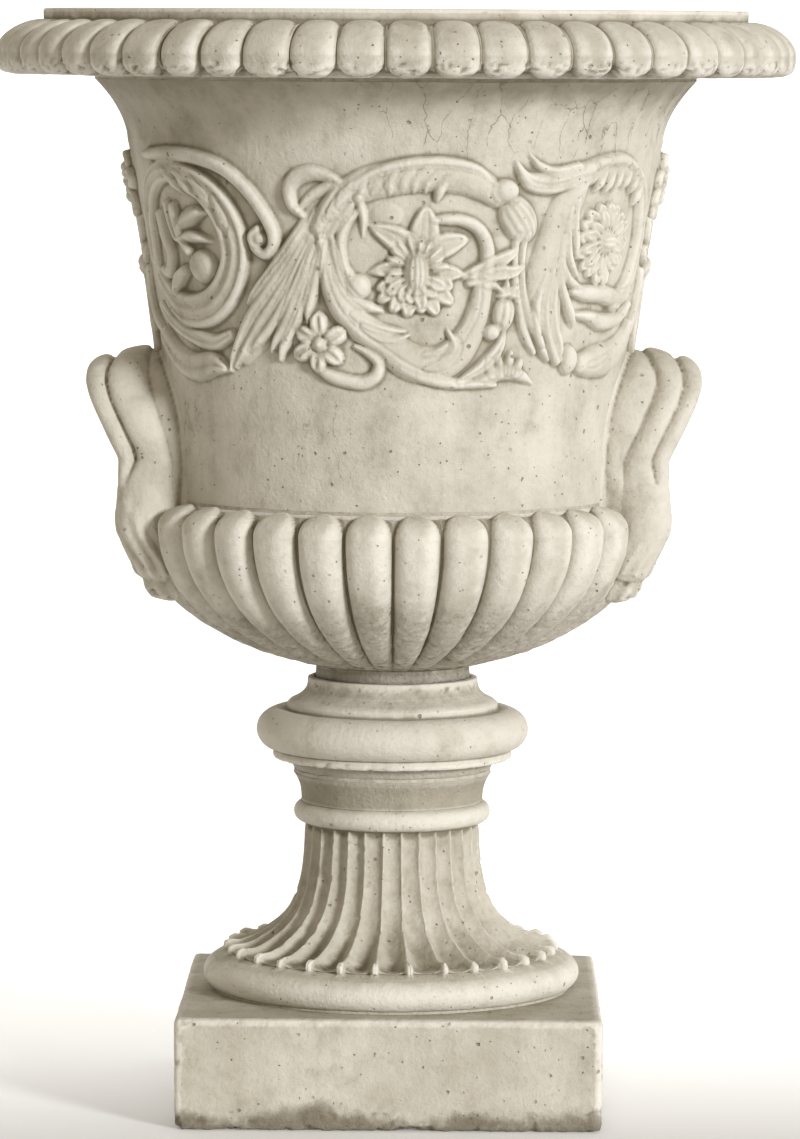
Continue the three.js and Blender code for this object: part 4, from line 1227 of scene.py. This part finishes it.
def carve_right_scroll(relief):
    """The scroll on the right: hooked leaf, acanthus trunk and ragged daisy."""
    stroke = relief.stroke
    ring = [(222, 664, 9), (244, 682, 9), (254, 710, 9), (249, 740, 9), (234, 762, 9), (205, 775, 11),
            (180, 775, 11), (160, 770, 11)]
    stroke(ring, 0.85, "ribs", ribs=2)
    for root, tip in (((178, 772), (172, 756)), ((188, 772), (184, 755)), ((198, 772), (195, 757)),
                      ((210, 771), (208, 758)), ((222, 768), (222, 754)), ((234, 760), (230, 744))):
        relief.lobe(root, tip, (4, 5, 1.5), 0.95, lift=0.6)
    stroke([(152, 762, 12), (143, 740, 16), (136, 712, 18), (131, 686, 19), (133, 661, 17),
            (141, 639, 12), (150, 621, 5)], 0.95)
    for path in (
        [(128, 690, 3), (122, 668, 4.5), (124, 648, 5), (132, 630, 4), (140, 621, 1.5)],
        [(134, 692, 3), (130, 668, 4.5), (134, 646, 5), (142, 629, 4.5), (149, 618, 2)],
        [(140, 690, 3), (138, 668, 4.5), (142, 649, 5), (150, 632, 4), (153, 621, 2)],
        [(146, 742, 3), (146, 722, 4.5), (150, 704, 4.5), (158, 692, 3.5), (165, 686, 1.2)],
        [(152, 748, 3), (153, 730, 4), (157, 712, 4), (160, 702, 1.2)],
        [(141, 720, 3), (143, 700, 4.5), (150, 688, 5), (161, 681, 4), (171, 680, 1.2)],
        [(140, 700, 3), (145, 682, 4.5), (153, 668, 4.5), (161, 656, 4), (166, 647, 1.2)],
    ):
        stroke(path, 1.0, lift=1.2)
    stroke([(160, 676, 4), (178, 674, 7), (200, 673, 8), (226, 668, 8), (245, 672, 6)], 0.9)
    stroke([(166, 657, 2.5), (184, 655, 5), (205, 650, 7.5), (232, 652, 7), (250, 662, 5)], 0.85)
    relief.dome((163, 621), (9.5, 12.5), 1.2)
    stroke([(180, 617, 9), (200, 618, 13.5), (225, 620, 14), (248, 630, 11), (262, 645, 6)], 0.95)
    stroke([(188, 616, 2), (200, 618, 3), (214, 623, 1)], -0.3, lift=0.7 * relief.high)
    relief.petals((192, 715), range(0, 360, 22), 8, 33, 6.2, 0.85, "hollow", seed=8)
    relief.petals((192, 715), range(10, 370, 26), 6, 25, 5.0, 1.15, "hollow", lift=1.0, seed=9)
    relief.dome((192, 715), (11, 11), 1.6, flutes=4)
    hook = [(93, 780, 2), (101, 768, 5.5), (114, 764, 8.5), (130, 766, 9.5), (146, 769, 9.5), (162, 774, 7)]
    stroke(hook, 0.95)
    stroke([(92, 779, 1), (102, 763, 3), (116, 758, 3.5), (134, 759, 3.5), (152, 766, 2)], 1.0, lift=1.0)
    stroke([(104, 786, 1), (113, 777, 3.5), (128, 773, 3.5), (150, 777, 3)], 1.0, lift=1.0)
    stroke([(262, 640, 4), (280, 650, 6), (292, 668, 6), (290, 688, 4)], 0.7)


def carve_side_leaf(relief, centre):
    """An upright palmette above each handle, where the scrolls of both faces end."""
    for angle, length, width in ((0, 70, 9), (22, 66, 8), (-22, 66, 8), (44, 56, 8), (-44, 56, 8),
                                 (68, 44, 7), (-68, 44, 7)):
        turned = math.radians(angle)
        rows = [(centre + d * math.sin(turned) * 0.75, 690 + d * math.cos(turned), w)
                for d, w in ((4, 3), (length * 0.4, width * 0.6), (length * 0.75, width), (length, 2))]
        relief.stroke(rows, 0.85, "hollow")
    relief.petals((centre, 758), range(10, 370, 51), 6, 27, 8.5, 0.95, "hollow", lift=0.8, seed=12)
    relief.petals((centre, 758), range(30, 390, 60), 4, 17, 6.0, 1.0, "keel", lift=2.2, seed=13)
    relief.dome((centre, 758), (8, 8), 1.3)
    for side in (-1, 1):
        relief.stroke([(centre + side * 4, 618, 3), (centre + side * 14, 628, 8),
                       (centre + side * 17, 644, 8), (centre + side * 8, 656, 3)], 0.95, "hollow")
    relief.dome((centre, 690), (11, 11), 1.2)
    relief.stroke([(centre, 684, 5), (centre, 660, 7), (centre, 640, 5)], 0.8)


def frieze_relief(sizes):
    relief = Relief(sizes.relief / MM)
    for side in (-1, 1):
        carve_side_leaf(relief, side * HALF_ROUND / 2)
    for carve in (carve_left_scroll, carve_right_scroll, carve_middle_scroll):
        carve(relief)
    relief.soften(2)
    level_off = np.clip((relief.up - FRIEZE_LOW) / 4, 0, 1) * np.clip((FRIEZE_HIGH - relief.up) / 4, 0, 1)
    relief.height *= level_off[:, None]
    return relief


def sample(grid, relief, u, z):
    """Values of a map at points, with straight changes between its cells."""
    x = np.clip((u - relief.along[0]) / (relief.along[1] - relief.along[0]), 0, len(relief.along) - 1.001)
    y = np.clip((z - relief.up[0]) / (relief.up[1] - relief.up[0]), 0, len(relief.up) - 1.001)
    column, row = x.astype(int), y.astype(int)
    fx, fy = x - column, y - row
    lower = grid[row, column] * (1 - fx) + grid[row, column + 1] * fx
    upper = grid[row + 1, column] * (1 - fx) + grid[row + 1, column + 1] * fx
    return lower * (1 - fy) + upper * fy


def build_tile(name, relief, hollow, left, right, turn, wear, material, replaced):
    """One piece of the frieze: a curved tile whose face carries the carving."""
    columns = round((right - left) / FRIEZE_CELL)
    rows = round((FRIEZE_HIGH - FRIEZE_LOW) / FRIEZE_CELL)
    bm = bmesh.new()
    bmesh.ops.create_grid(bm, x_segments=columns, y_segments=rows, size=0.5)
    flat = np.array([v.co for v in bm.verts])
    u = left + (flat[:, 0] + 0.5) * (right - left)
    z = FRIEZE_LOW + (flat[:, 1] + 0.5) * (FRIEZE_HIGH - FRIEZE_LOW)
    raised = sample(relief.height, relief, u, z)
    angle = u / FRIEZE_RADIUS
    place = np.stack([wall_radius(z) * np.sin(angle), -wall_radius(z) * np.cos(angle), z], axis=1)
    inner = (u - left > 6) & (right - u > 6) & (z - FRIEZE_LOW > 6) & (FRIEZE_HIGH - z > 6)
    lumps = 0.3 * value_noise(place, 11, 71) + 0.22 * value_noise(place, 4.5, 72)
    radius = wall_radius(z) + raised + lumps * wear * inner
    whole = angle + turn
    points = np.stack([radius * np.sin(whole), -radius * np.cos(whole), z], axis=1)
    move_points(bm, points)
    rim = [edge for edge in bm.edges if edge.is_boundary]
    skirt = bmesh.ops.extrude_edge_only(bm, edges=rim)["geom"]
    lower = [item for item in skirt if isinstance(item, bmesh.types.BMVert)]
    for vert in lower:
        outward = Vector((vert.co.x, vert.co.y, 0)).normalized()
        vert.co -= outward * (FRIEZE_BED - 0.4) * MM
    back = [edge for edge in bm.edges if edge.is_boundary]
    bmesh.ops.holes_fill(bm, edges=back, sides=0)
    bmesh.ops.triangulate(bm, faces=[f for f in bm.faces if len(f.verts) > 4])
    bmesh.ops.recalc_face_normals(bm, faces=bm.faces)
    for edge in rim:
        edge.smooth = False
    hollows = np.zeros(len(bm.verts))
    hollows[:len(u)] = sample(hollow, relief, u, z)
    piece = make_piece(name, bm, material, replaced, hollows=0)
    keep_hollows(piece.data, hollows)


def build_frieze(sizes, finish):
    """Six carved tiles round the bell. The rear repeats the front."""
    relief = frieze_relief(sizes)
    # How deep each point lies below its surroundings, near and broad: the broad part gives painted shade on
    # the ground between the forms and painted highlight on their tops
    softer = Relief(relief.high)
    softer.height = relief.height.copy()
    softer.soften(12)
    hollow = np.clip((softer.height - relief.height) * 0.5, -0.55, 0.6)
    softer.soften(110)
    hollow += np.clip((softer.height - relief.height) * 0.22, -0.45, 0.7)
    material = stone_material("frieze_stone", finish, on_bell=True)
    edges = [math.radians(a) * FRIEZE_RADIUS for a in FRIEZE_EDGES]
    for face, turn in (("front", 0.0), ("rear", math.pi)):
        for place, left, right in zip(("left", "middle", "right"), edges, edges[1:]):
            nodes = [f"{face}_{place}_scroll", f"{face}_{place}_rosette"]
            build_tile(f"{face}_{place}_frieze", relief, hollow, left, right, turn,
                       sizes.wear / MM, material, nodes)


# Rim


def build_rim(sizes, finish):
    """The overhanging ring of rounded lobes under a flat lip."""
    base, top = RIM_BASE, RIM_TOP
    lobe_top = top - LIP_HEIGHT
    middle = base + 19
    inner = RIM_INNER_RADIUS
    deep = sizes.rim_lobe_depth / MM
    rows = []
    for angle in np.linspace(-90, 0, 16)[:-1]:
        sine = math.sin(math.radians(angle))
        out = (1 - abs(sine) ** 4) ** 0.25
        crest = (inner + (RIM_RADIUS - inner) * out, middle + (middle - base - 0.2) * sine)
        groove = (inner + (RIM_RADIUS - deep - inner) * out,
                  middle + (middle - base - 0.2 - deep * 0.9) * sine)
        rows.append((crest, groove, 0.97 * min(1.0, max(0.3, out ** 0.45)), 3.0))
    for angle in np.linspace(0, 90, 24):
        sine = math.sin(math.radians(angle))
        out = max(0, 1 - sine ** 1.75) ** (1 / 1.75)
        crest = (LIP_RADIUS + 2 + (RIM_RADIUS - LIP_RADIUS - 2) * out, middle + (lobe_top - middle) * sine)
        groove = (LIP_RADIUS + 1 + (RIM_RADIUS - deep - LIP_RADIUS - 1) * out,
                  middle + (lobe_top - middle - deep * 0.55) * sine)
        rows.append((crest, groove, 0.97 * max(0.8, min(1.0, out ** 0.07)), 3.2))
    lip = [(LIP_RADIUS - 0.3, lobe_top - 1.2), (LIP_RADIUS, lobe_top + 1.5), (LIP_RADIUS + 0.2, top - 1.8),
           (LIP_RADIUS - 0.9, top - 0.4), (LIP_RADIUS - 2.6, top), (LIP_RADIUS - LIP_WIDTH + 3, top),
           (LIP_RADIUS - LIP_WIDTH + 0.8, top - 0.8), (LIP_RADIUS - LIP_WIDTH - 5, top - 7)]
    underside = [(BELL_TOP_RADIUS - WALL, base), (BELL_TOP_RADIUS + 0.5, base), (inner - 4, base + 0.4)]
    rest = refine(lip, 4) + refine(underside, 6)
    bm, on_lobes = lobed_ring(rows, rest, sizes.rim_lobes, RIM_TURN, RIM_COLUMNS, uneven=0.25, seed=81)
    points, normals = weathered(bm, sizes, 1.2, 82)
    lower = np.clip((base + 16 - points[:, 2]) / 10, 0, 1) * on_lobes
    bites = nicks(points, 6, 2.8, 0.6, 0.1, 83)
    points = points - normals * (bites * lower * 3.0)[:, None]
    chips = np.clip(value_noise(points, 14, 85) - 0.55, 0, 1) * (points[:, 2] > top - 3)
    points = points - normals * (chips * 5)[:, None]
    points[:, 2] = np.minimum(points[:, 2], top)
    move_points(bm, points)
    material = stone_material("rim_stone", finish, rough_below=RIM_CRUMBLY_BELOW, tone=0.07)
    make_piece("stone_rim", bm, material, ["gadrooned_rim"])


# Handles

# Heights are above the bowl's top, and insets are inwards from the arch's outer side, in millimetres
HANDLE_SPREAD = 55.0
HANDLE_RISE = 106.0
HANDLE_SINK = 10.0
HANDLE_REACH = 45.5
HANDLE_WAIST_REACH = 12.0
HANDLE_WAIST_RISE = 36.0
HANDLE_TOP_ROUNDING = ((84, 0), (98, 2.4), (108.5, 8), (116, 16), (122, 22), (127, 29), (133, 40))
REED_CREST = 20.0
BAR_FRONT = 36.5
BAR_WALL = 61.0
WALL_SINK = 12.0

# By side, +1 for the right: each reed's inset, half width, crest and bulge, then how wide the outer
# reed is, the share of it left at its foot, and the depth of the leaf's folds
REEDS = {
    1: ((8.6, 8.6, 0.66, 0.46), (27, 10.2, 1.0, 0.36), (49.4, 12.0, 0.92, 0.34)),
    -1: ((9.6, 9.6, 0.62, 0.42), (34, 15.0, 1.0, 0.34), (55, 6.4, 0.84, 0.2)),
}
OUTER_REED = {1: 17.2, -1: 19.2}
OUTER_REED_LEAST = {1: 0.62, -1: 0.25}
LEAF_FOLDS = {1: 0.03, -1: 0.09}


def handle_section(sign):
    """The bar's section as insets and lifts, with half round reeds on its outer side."""
    rows = [(0.0, -0.4), (0.0, 0.0)]
    for inset, half, crest, bulge in REEDS[sign]:
        for angle in np.linspace(12, 168, 13):
            turned = math.radians(angle)
            rows.append((inset - half * math.cos(turned), crest - bulge + bulge * math.sin(turned)))
    return rows + [(61.2, 0.6), (61.5, 0.98), (66, 1.02), (75, 1.0), (75, -0.8), (30, -1.0), (6, -0.85)]


def grow(bm, edges, steps, distance):
    """Extrudes a ring of edges upwards in equal steps and gives back its end."""
    for _ in range(steps):
        made = bmesh.ops.extrude_edge_only(bm, edges=edges)["geom"]
        verts = [item for item in made if isinstance(item, bmesh.types.BMVert)]
        bmesh.ops.translate(bm, vec=(0, 0, distance / steps * MM), verts=verts)
        edges = [item for item in made if isinstance(item, bmesh.types.BMEdge)
                 and all(v in verts for v in item.verts)]
    return edges


def handle_bar(sign):
    """The upright arch before it leans out: up one leg, half round, and down the other."""
    bm = bmesh.new()
    start = [bm.verts.new(((BOWL_RADIUS - inset) * MM, (-HANDLE_SPREAD - lift * REED_CREST) * MM,
                           (BOWL_TOP - HANDLE_SINK) * MM)) for inset, lift in handle_section(sign)]
    ring = [bm.edges.new((a, b)) for a, b in zip(start, start[1:] + start[:1])]
    bmesh.ops.contextual_create(bm, geom=ring)
    straight = HANDLE_RISE - HANDLE_SPREAD + HANDLE_SINK
    edges = grow(bm, ring, 24, straight)
    made = bmesh.ops.spin(
        bm, geom=edges + list({v for e in edges for v in e.verts}),
        cent=(0, 0, (BOWL_TOP + HANDLE_RISE - HANDLE_SPREAD) * MM), axis=(-1, 0, 0), angle=math.pi,
        steps=60, use_merge=False, use_duplicate=False,
    )["geom_last"]
    edges = [item for item in made if isinstance(item, bmesh.types.BMEdge)]
    bmesh.ops.contextual_create(bm, geom=grow(bm, edges, 24, -straight))
    return bm


def lean_bar(points, sign):
    """Leans the arch out from the wall, thins its outer reed downwards and rounds its top."""
    rise = points[:, 2] - BOWL_TOP
    inset = BOWL_RADIUS - points[:, 0]
    share = np.clip((rise - HANDLE_WAIST_RISE) / (HANDLE_RISE - 1 - HANDLE_WAIST_RISE), 0, 1.2)
    outermost = BOWL_RADIUS + HANDLE_WAIST_REACH + (HANDLE_REACH - HANDLE_WAIST_REACH) * share
    outermost -= np.interp(rise, *zip(*HANDLE_TOP_ROUNDING))
    least, edge = OUTER_REED_LEAST[sign], OUTER_REED[sign]
    slim = least + (1 - least) * eased(np.clip((rise - 4) / 44, 0, 1))
    drawn = edge * slim
    inner = np.where(inset < 37, drawn + (inset - edge) * (37 - drawn) / (37 - edge), inset)
    inset = np.where(inset < edge, inset * slim, inner)
    wall = np.sqrt(np.maximum(wall_radius(points[:, 2]) ** 2 - points[:, 1] ** 2, 100.0 ** 2))
    towards = np.clip((inset - BAR_FRONT) / (BAR_WALL - BAR_FRONT), 0, 1)
    points[:, 0] = (outermost - np.minimum(inset, BAR_FRONT)) * (1 - towards) + (wall + 2) * towards
    points[:, 0] -= np.clip(inset - BAR_WALL, 0, 20)
    outer = np.clip((np.abs(points[:, 1]) - HANDLE_SPREAD + 2) / 8, 0, 1) * (inset < BAR_WALL)
    fade = eased(np.clip((34 - rise) / 34, 0, 1)) * outer
    plain = HANDLE_SPREAD + REED_CREST * (0.85 - 0.5 * np.clip(np.abs(inset - 30) / 31, 0, 1) ** 2.4)
    points[:, 1] = np.sign(points[:, 1]) * (np.abs(points[:, 1]) * (1 - fade) + plain * fade)
    return points


def build_handle(name, sign, sizes, material):
    """A reeded arch that leans out from the wall, on two drooping leaves."""
    bm = handle_bar(sign)
    move_points(bm, lean_bar(points_of(bm), sign))
    for side in (-1, 1):
        add_terminal(bm, side, LEAF_FOLDS[sign])
    points = points_of(bm)
    wall = np.where(points[:, 2] > BODY_BASE, wall_radius(points[:, 2]), BELL_FOOT_RADIUS) - WALL_SINK
    points[:, 0] = np.maximum(points[:, 0], np.sqrt(np.maximum(wall ** 2 - points[:, 1] ** 2, 0)))
    move_points(bm, points)
    bmesh.ops.recalc_face_normals(bm, faces=bm.faces)
    remeshed(bm, HANDLE_VOXEL * MM)
    for _ in range(3):
        bmesh.ops.smooth_vert(
            bm, verts=bm.verts, factor=0.5, use_axis_x=True, use_axis_y=True, use_axis_z=True
        )
    bmesh.ops.rotate(bm, verts=bm.verts, matrix=Matrix.Diagonal((sign, sign, 1)))
    points, normals = weathered(bm, sizes, 1.0, 91 + sign)
    ragged = np.clip((BOWL_TOP - 45 - points[:, 2]) / 20, 0, 1)
    bites = nicks(points, 7, 3, 0.6, 0.2, 95)
    points = points - normals * (bites * ragged * 2.2)[:, None]
    move_points(bm, points)
    make_piece(f"{name}_stone_handle", bm, material, [f"{name}_handle"])


def build_handles(sizes, finish):
    material = stone_material("handle_stone", finish)
    for name, sign in (("right", 1), ("left", -1)):
        build_handle(name, sign, sizes, material)


def add_limb(bm, stations, side, folds=0, fold_depth=0.0, fold_from=0.0, fold_to=1.0):
    """A rounded upright solid. Each station gives its height, centre and half widths in millimetres."""
    made = bmesh.ops.create_uvsphere(bm, u_segments=64, v_segments=40, radius=1.0)["verts"]
    heights, along, across, deep, wide = np.array(sorted(stations)).T
    for vert in made:
        share = 0.5 + math.asin(max(-1, min(1, vert.co.z))) / math.pi
        z = heights[0] + (heights[-1] - heights[0]) * share
        close = min(1, 9 * min(share, 1 - share)) ** 0.5
        turn = math.atan2(vert.co.y, vert.co.x)
        gather = min(1, max(0, (fold_from - z) / max(1, fold_from - fold_to)))
        swell = close * (1 + fold_depth * gather * math.cos(folds * turn + 0.12 * (z - 450)))
        x = np.interp(z, heights, along) + np.interp(z, heights, deep) * swell * math.cos(turn)
        y = np.interp(z, heights, across) + np.interp(z, heights, wide) * swell * math.sin(turn)
        vert.co = (x * MM, side * y * MM, z * MM)


def add_terminal(bm, side, fold_depth):
    """A worn drooping leaf under one leg of the handle: smooth above, gathered in folds below."""
    stations = (
        (524, 201, 54, 21, 18), (510, 203, 54.5, 23, 21), (498, 203, 55, 23.5, 24),
        (486, 204, 55, 23.8, 26), (474, 203, 55.5, 23.5, 27), (462, 198, 56, 22.5, 27),
        (450, 193, 57, 21, 25), (441, 191, 58, 19.5, 22), (434, 190, 58, 17, 18), (430, 189, 58, 12, 14),
    )
    add_limb(bm, stations, side, folds=11, fold_depth=fold_depth, fold_from=496, fold_to=456)
    tab = ((452, 190, 54, 13, 14), (440, 189, 54, 16, 16), (428, 187, 55, 16, 15), (421, 184, 55, 14, 12),
           (417, 181, 55, 8, 9))
    add_limb(bm, tab, side, folds=7, fold_depth=0.08, fold_from=450, fold_to=430)
    brow = ((516, 212, 55, 8, 12), (508, 213, 55, 12, 18), (500, 213.5, 55, 13, 22),
            (492, 213.5, 55, 12.5, 23), (484, 212.5, 55, 9, 18))
    add_limb(bm, brow, side)


# Mortar and metal


def build_mortar(finish):
    """Rings of mortar that fill the joints between the stones, a little uneven."""
    material = mortar_material("mortar_joint", finish)
    joints = (
        ("foot_bed", "foot_mortar", 147.0, 0.1), ("knop_bed", "knop_mortar", 81.2, 0.1),
        ("bowl_bed", "bowl_mortar", 64.2, 0.4), ("body_bed", "body_mortar", BELL_FOOT_RADIUS - 0.2, 0.1),
        ("rim_bed", "rim_mortar", BELL_TOP_RADIUS - 0.2, 0.1),
    )
    for number, (node, name, outer, taper) in enumerate(joints):
        low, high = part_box(node)
        inner = min(math.hypot(v.co.x, v.co.y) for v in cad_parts[node].data.vertices) / MM
        bottom, top = low.z / MM - 0.25, high.z / MM + 0.25
        edge = refine([(outer, bottom), (outer - taper, top)], 1.2)
        bm = turn_section(edge + [(inner, top), (inner, bottom)], 240, 12)
        points = points_of(bm)
        radius = radii(points)
        push = value_noise(points, 7, 101 + number) + 0.6 * value_noise(points, 2.5, 111 + number)
        scale = 1 + (radius > outer - 3) * push * 0.5 / radius
        points[:, :2] *= scale[:, None]
        move_points(bm, points)
        sharpen(bm, 50)
        make_piece(name, bm, material, [node], hollows=0)


def dress_metal(finish):
    """Gives the tie tube, its fixings and the handle dowels their metal."""
    zinc = metal_material("galvanised", finish.zinc, finish, 0.4)
    steel = metal_material("drawn_stainless", finish.steel, finish, 0.12)
    for node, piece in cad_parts.items():
        if node.endswith("_dowel"):
            chosen = steel
        elif node == "drain_tube" or node.endswith(("_nut", "_washer")):
            chosen = zinc
        else:
            continue
        piece.data.materials.clear()
        piece.data.materials.append(chosen)


# Stage


def place_camera():
    camera = bpy.data.cameras.new("camera")
    camera.lens = CAMERA_LENS
    camera.sensor_fit = "AUTO"
    camera.sensor_width = 36
    camera.clip_end = 100
    eye = new_object("camera", camera)
    eye.location = CAMERA_PLACE
    eye.rotation_euler = (math.radians(CAMERA_TILT), math.radians(CAMERA_ROLL), 0)
    bpy.context.scene.camera = eye


def floor_material():
    """Pale matt floor that glows behind the urn, so that the ground there is white.

    Its wall is clear from outside, so that it hides nothing in a view from behind it."""
    material, wire = start_material("pale_floor")
    place = wire.node("ShaderNodeTexCoord", output=3)
    behind = wire.node("ShaderNodeSeparateXYZ", None, {0: place}, output=1)
    across = wire.node("ShaderNodeSeparateXYZ", None, {0: place}, output=0)
    aside = across.maths("ABSOLUTE", across)
    lit = behind.between(*GLOW_BEHIND) * (1 - aside.between(*GLOW_ASIDE))
    shader = wire.node(
        "ShaderNodeBsdfPrincipled", None,
        {"Base Color": FLOOR_COLOUR, "Roughness": 1.0, "Specular IOR Level": 0.0,
         "Emission Color": lit.blend((0, 0, 0, 1), (1, 1, 1, 1)), "Emission Strength": GLOW_STRENGTH},
    )
    outside = wire.node("ShaderNodeNewGeometry", output=6)
    clear = wire.node("ShaderNodeBsdfTransparent")
    seen = wire.node("ShaderNodeMixShader", None, {0: outside, 1: shader, 2: clear})
    wire.node("ShaderNodeOutputMaterial", None, {"Surface": seen})
    return material


def build_floor():
    """A floor that runs out past the camera's view and curves up into a wall far behind."""
    bm = bmesh.new()
    bmesh.ops.create_grid(bm, x_segments=1, y_segments=1, size=FLOOR_HALF)
    far = [edge for edge in bm.edges if all(vert.co.y > 0 for vert in edge.verts)]
    near = [vert for vert in bm.verts if vert.co.y < 0]
    bmesh.ops.translate(bm, vec=(0, FLOOR_BEHIND - FLOOR_HALF, 0), verts=far[0].verts)
    bmesh.ops.translate(bm, vec=(0, FLOOR_HALF - FLOOR_FRONT, 0), verts=near)
    wall = bmesh.ops.extrude_edge_only(bm, edges=far)["geom"]
    raised = [item for item in wall if isinstance(item, bmesh.types.BMVert)]
    bmesh.ops.translate(bm, vec=(0, 0, FLOOR_HALF), verts=raised)
    corner = [edge for edge in bm.edges if len(edge.link_faces) == 2]
    bmesh.ops.bevel(
        bm, geom=corner, offset=FLOOR_BEHIND / 2, offset_type="OFFSET", affect="EDGES",
        segments=40, profile=0.5, material=-1,
    )
    mesh = bpy.data.meshes.new("floor")
    bm.to_mesh(mesh)
    bm.free()
    mesh.polygons.foreach_set("use_smooth", [True] * len(mesh.polygons))
    mesh.materials.append(floor_material())
    new_object("floor", mesh)


def light_studio():
    """A pale warm sky and one broad soft sun."""
    world = bpy.data.worlds.new("studio")
    world.use_nodes = True
    background = world.node_tree.nodes["Background"]
    background.inputs["Color"].default_value = SKY_COLOUR
    background.inputs["Strength"].default_value = SKY_STRENGTH
    bpy.context.scene.world = world
    sun = bpy.data.lights.new("key", "SUN")
    sun.energy = SUN_STRENGTH
    sun.angle = math.radians(SUN_ANGLE)
    sun.color = SUN_COLOUR
    lamp = new_object("key", sun)
    lamp.location = Vector(SUN_TOWARDS) * 3
    lamp.rotation_euler = Vector(SUN_TOWARDS).to_track_quat("Z", "Y").to_euler()


def build_stage():
    place_camera()
    build_floor()
    light_studio()
    bpy.context.scene.view_settings.view_transform = "Standard"


# Operators


class URN_OT_stage(bpy.types.Operator):
    """Set up the camera, the floor and the light"""

    bl_idname = "urn.stage"
    bl_label = "Stage"

    def execute(self, context):
        build_stage()
        return {"FINISHED"}


class URN_OT_plinth(bpy.types.Operator):
    """Model the square plinth"""

    bl_idname = "urn.plinth"
    bl_label = "Plinth"

    def execute(self, context):
        build_plinth(context.scene.urn_sizes, context.scene.urn_finish)
        return {"FINISHED"}


class URN_OT_pedestal(bpy.types.Operator):
    """Model the fluted pedestal"""

    bl_idname = "urn.pedestal"
    bl_label = "Pedestal"

    def execute(self, context):
        build_pedestal(context.scene.urn_sizes, context.scene.urn_finish)
        return {"FINISHED"}


class URN_OT_knop(bpy.types.Operator):
    """Model the moulded knop"""

    bl_idname = "urn.knop"
    bl_label = "Knop"

    def execute(self, context):
        build_knop(context.scene.urn_sizes, context.scene.urn_finish)
        return {"FINISHED"}


class URN_OT_bowl(bpy.types.Operator):
    """Model the gadrooned bowl"""

    bl_idname = "urn.bowl"
    bl_label = "Bowl"

    def execute(self, context):
        build_bowl(context.scene.urn_sizes, context.scene.urn_finish)
        return {"FINISHED"}


class URN_OT_bell(bpy.types.Operator):
    """Model the bell body"""

    bl_idname = "urn.bell"
    bl_label = "Bell body"

    def execute(self, context):
        build_bell(context.scene.urn_sizes, context.scene.urn_finish)
        return {"FINISHED"}


class URN_OT_frieze(bpy.types.Operator):
    """Carve the acanthus frieze"""

    bl_idname = "urn.frieze"
    bl_label = "Frieze"

    def execute(self, context):
        build_frieze(context.scene.urn_sizes, context.scene.urn_finish)
        return {"FINISHED"}


class URN_OT_rim(bpy.types.Operator):
    """Model the lobed rim"""

    bl_idname = "urn.rim"
    bl_label = "Rim"

    def execute(self, context):
        build_rim(context.scene.urn_sizes, context.scene.urn_finish)
        return {"FINISHED"}


class URN_OT_handles(bpy.types.Operator):
    """Model the two looped handles"""

    bl_idname = "urn.handles"
    bl_label = "Handles"

    def execute(self, context):
        build_handles(context.scene.urn_sizes, context.scene.urn_finish)
        return {"FINISHED"}


class URN_OT_mortar(bpy.types.Operator):
    """Model the mortar joints"""

    bl_idname = "urn.mortar"
    bl_label = "Mortar"

    def execute(self, context):
        build_mortar(context.scene.urn_finish)
        return {"FINISHED"}


class URN_OT_metal(bpy.types.Operator):
    """Give the hidden metal parts their finish"""

    bl_idname = "urn.metal"
    bl_label = "Metal"

    def execute(self, context):
        dress_metal(context.scene.urn_finish)
        return {"FINISHED"}


OPERATORS = (
    URN_OT_stage, URN_OT_plinth, URN_OT_pedestal, URN_OT_knop, URN_OT_bowl, URN_OT_bell,
    URN_OT_frieze, URN_OT_rim, URN_OT_handles, URN_OT_mortar, URN_OT_metal,
)


class URN_PT_sidebar(bpy.types.Panel):
    """Lists the urn's pieces, sizes and colours"""

    bl_idname = "URN_PT_sidebar"
    bl_label = "Cast stone urn"
    bl_space_type = "VIEW_3D"
    bl_region_type = "UI"
    bl_category = "Urn"

    def draw(self, context):
        for operator in OPERATORS:
            self.layout.operator(operator.bl_idname)
        for group in (context.scene.urn_sizes, context.scene.urn_finish):
            box = self.layout.box()
            for name in group.__annotations__:
                box.prop(group, name)


CLASSES = (UrnSizes, UrnFinish) + OPERATORS + (URN_PT_sidebar,)


def register():
    for item in CLASSES:
        bpy.utils.register_class(item)
    bpy.types.Scene.urn_sizes = bpy.props.PointerProperty(type=UrnSizes)
    bpy.types.Scene.urn_finish = bpy.props.PointerProperty(type=UrnFinish)


def unregister():
    del bpy.types.Scene.urn_finish
    del bpy.types.Scene.urn_sizes
    for item in reversed(CLASSES):
        bpy.utils.unregister_class(item)


def main():
    register()
    for operator in OPERATORS:
        group, name = operator.bl_idname.split(".")
        getattr(getattr(bpy.ops, group), name)()


if __name__ == "__main__":
    main()
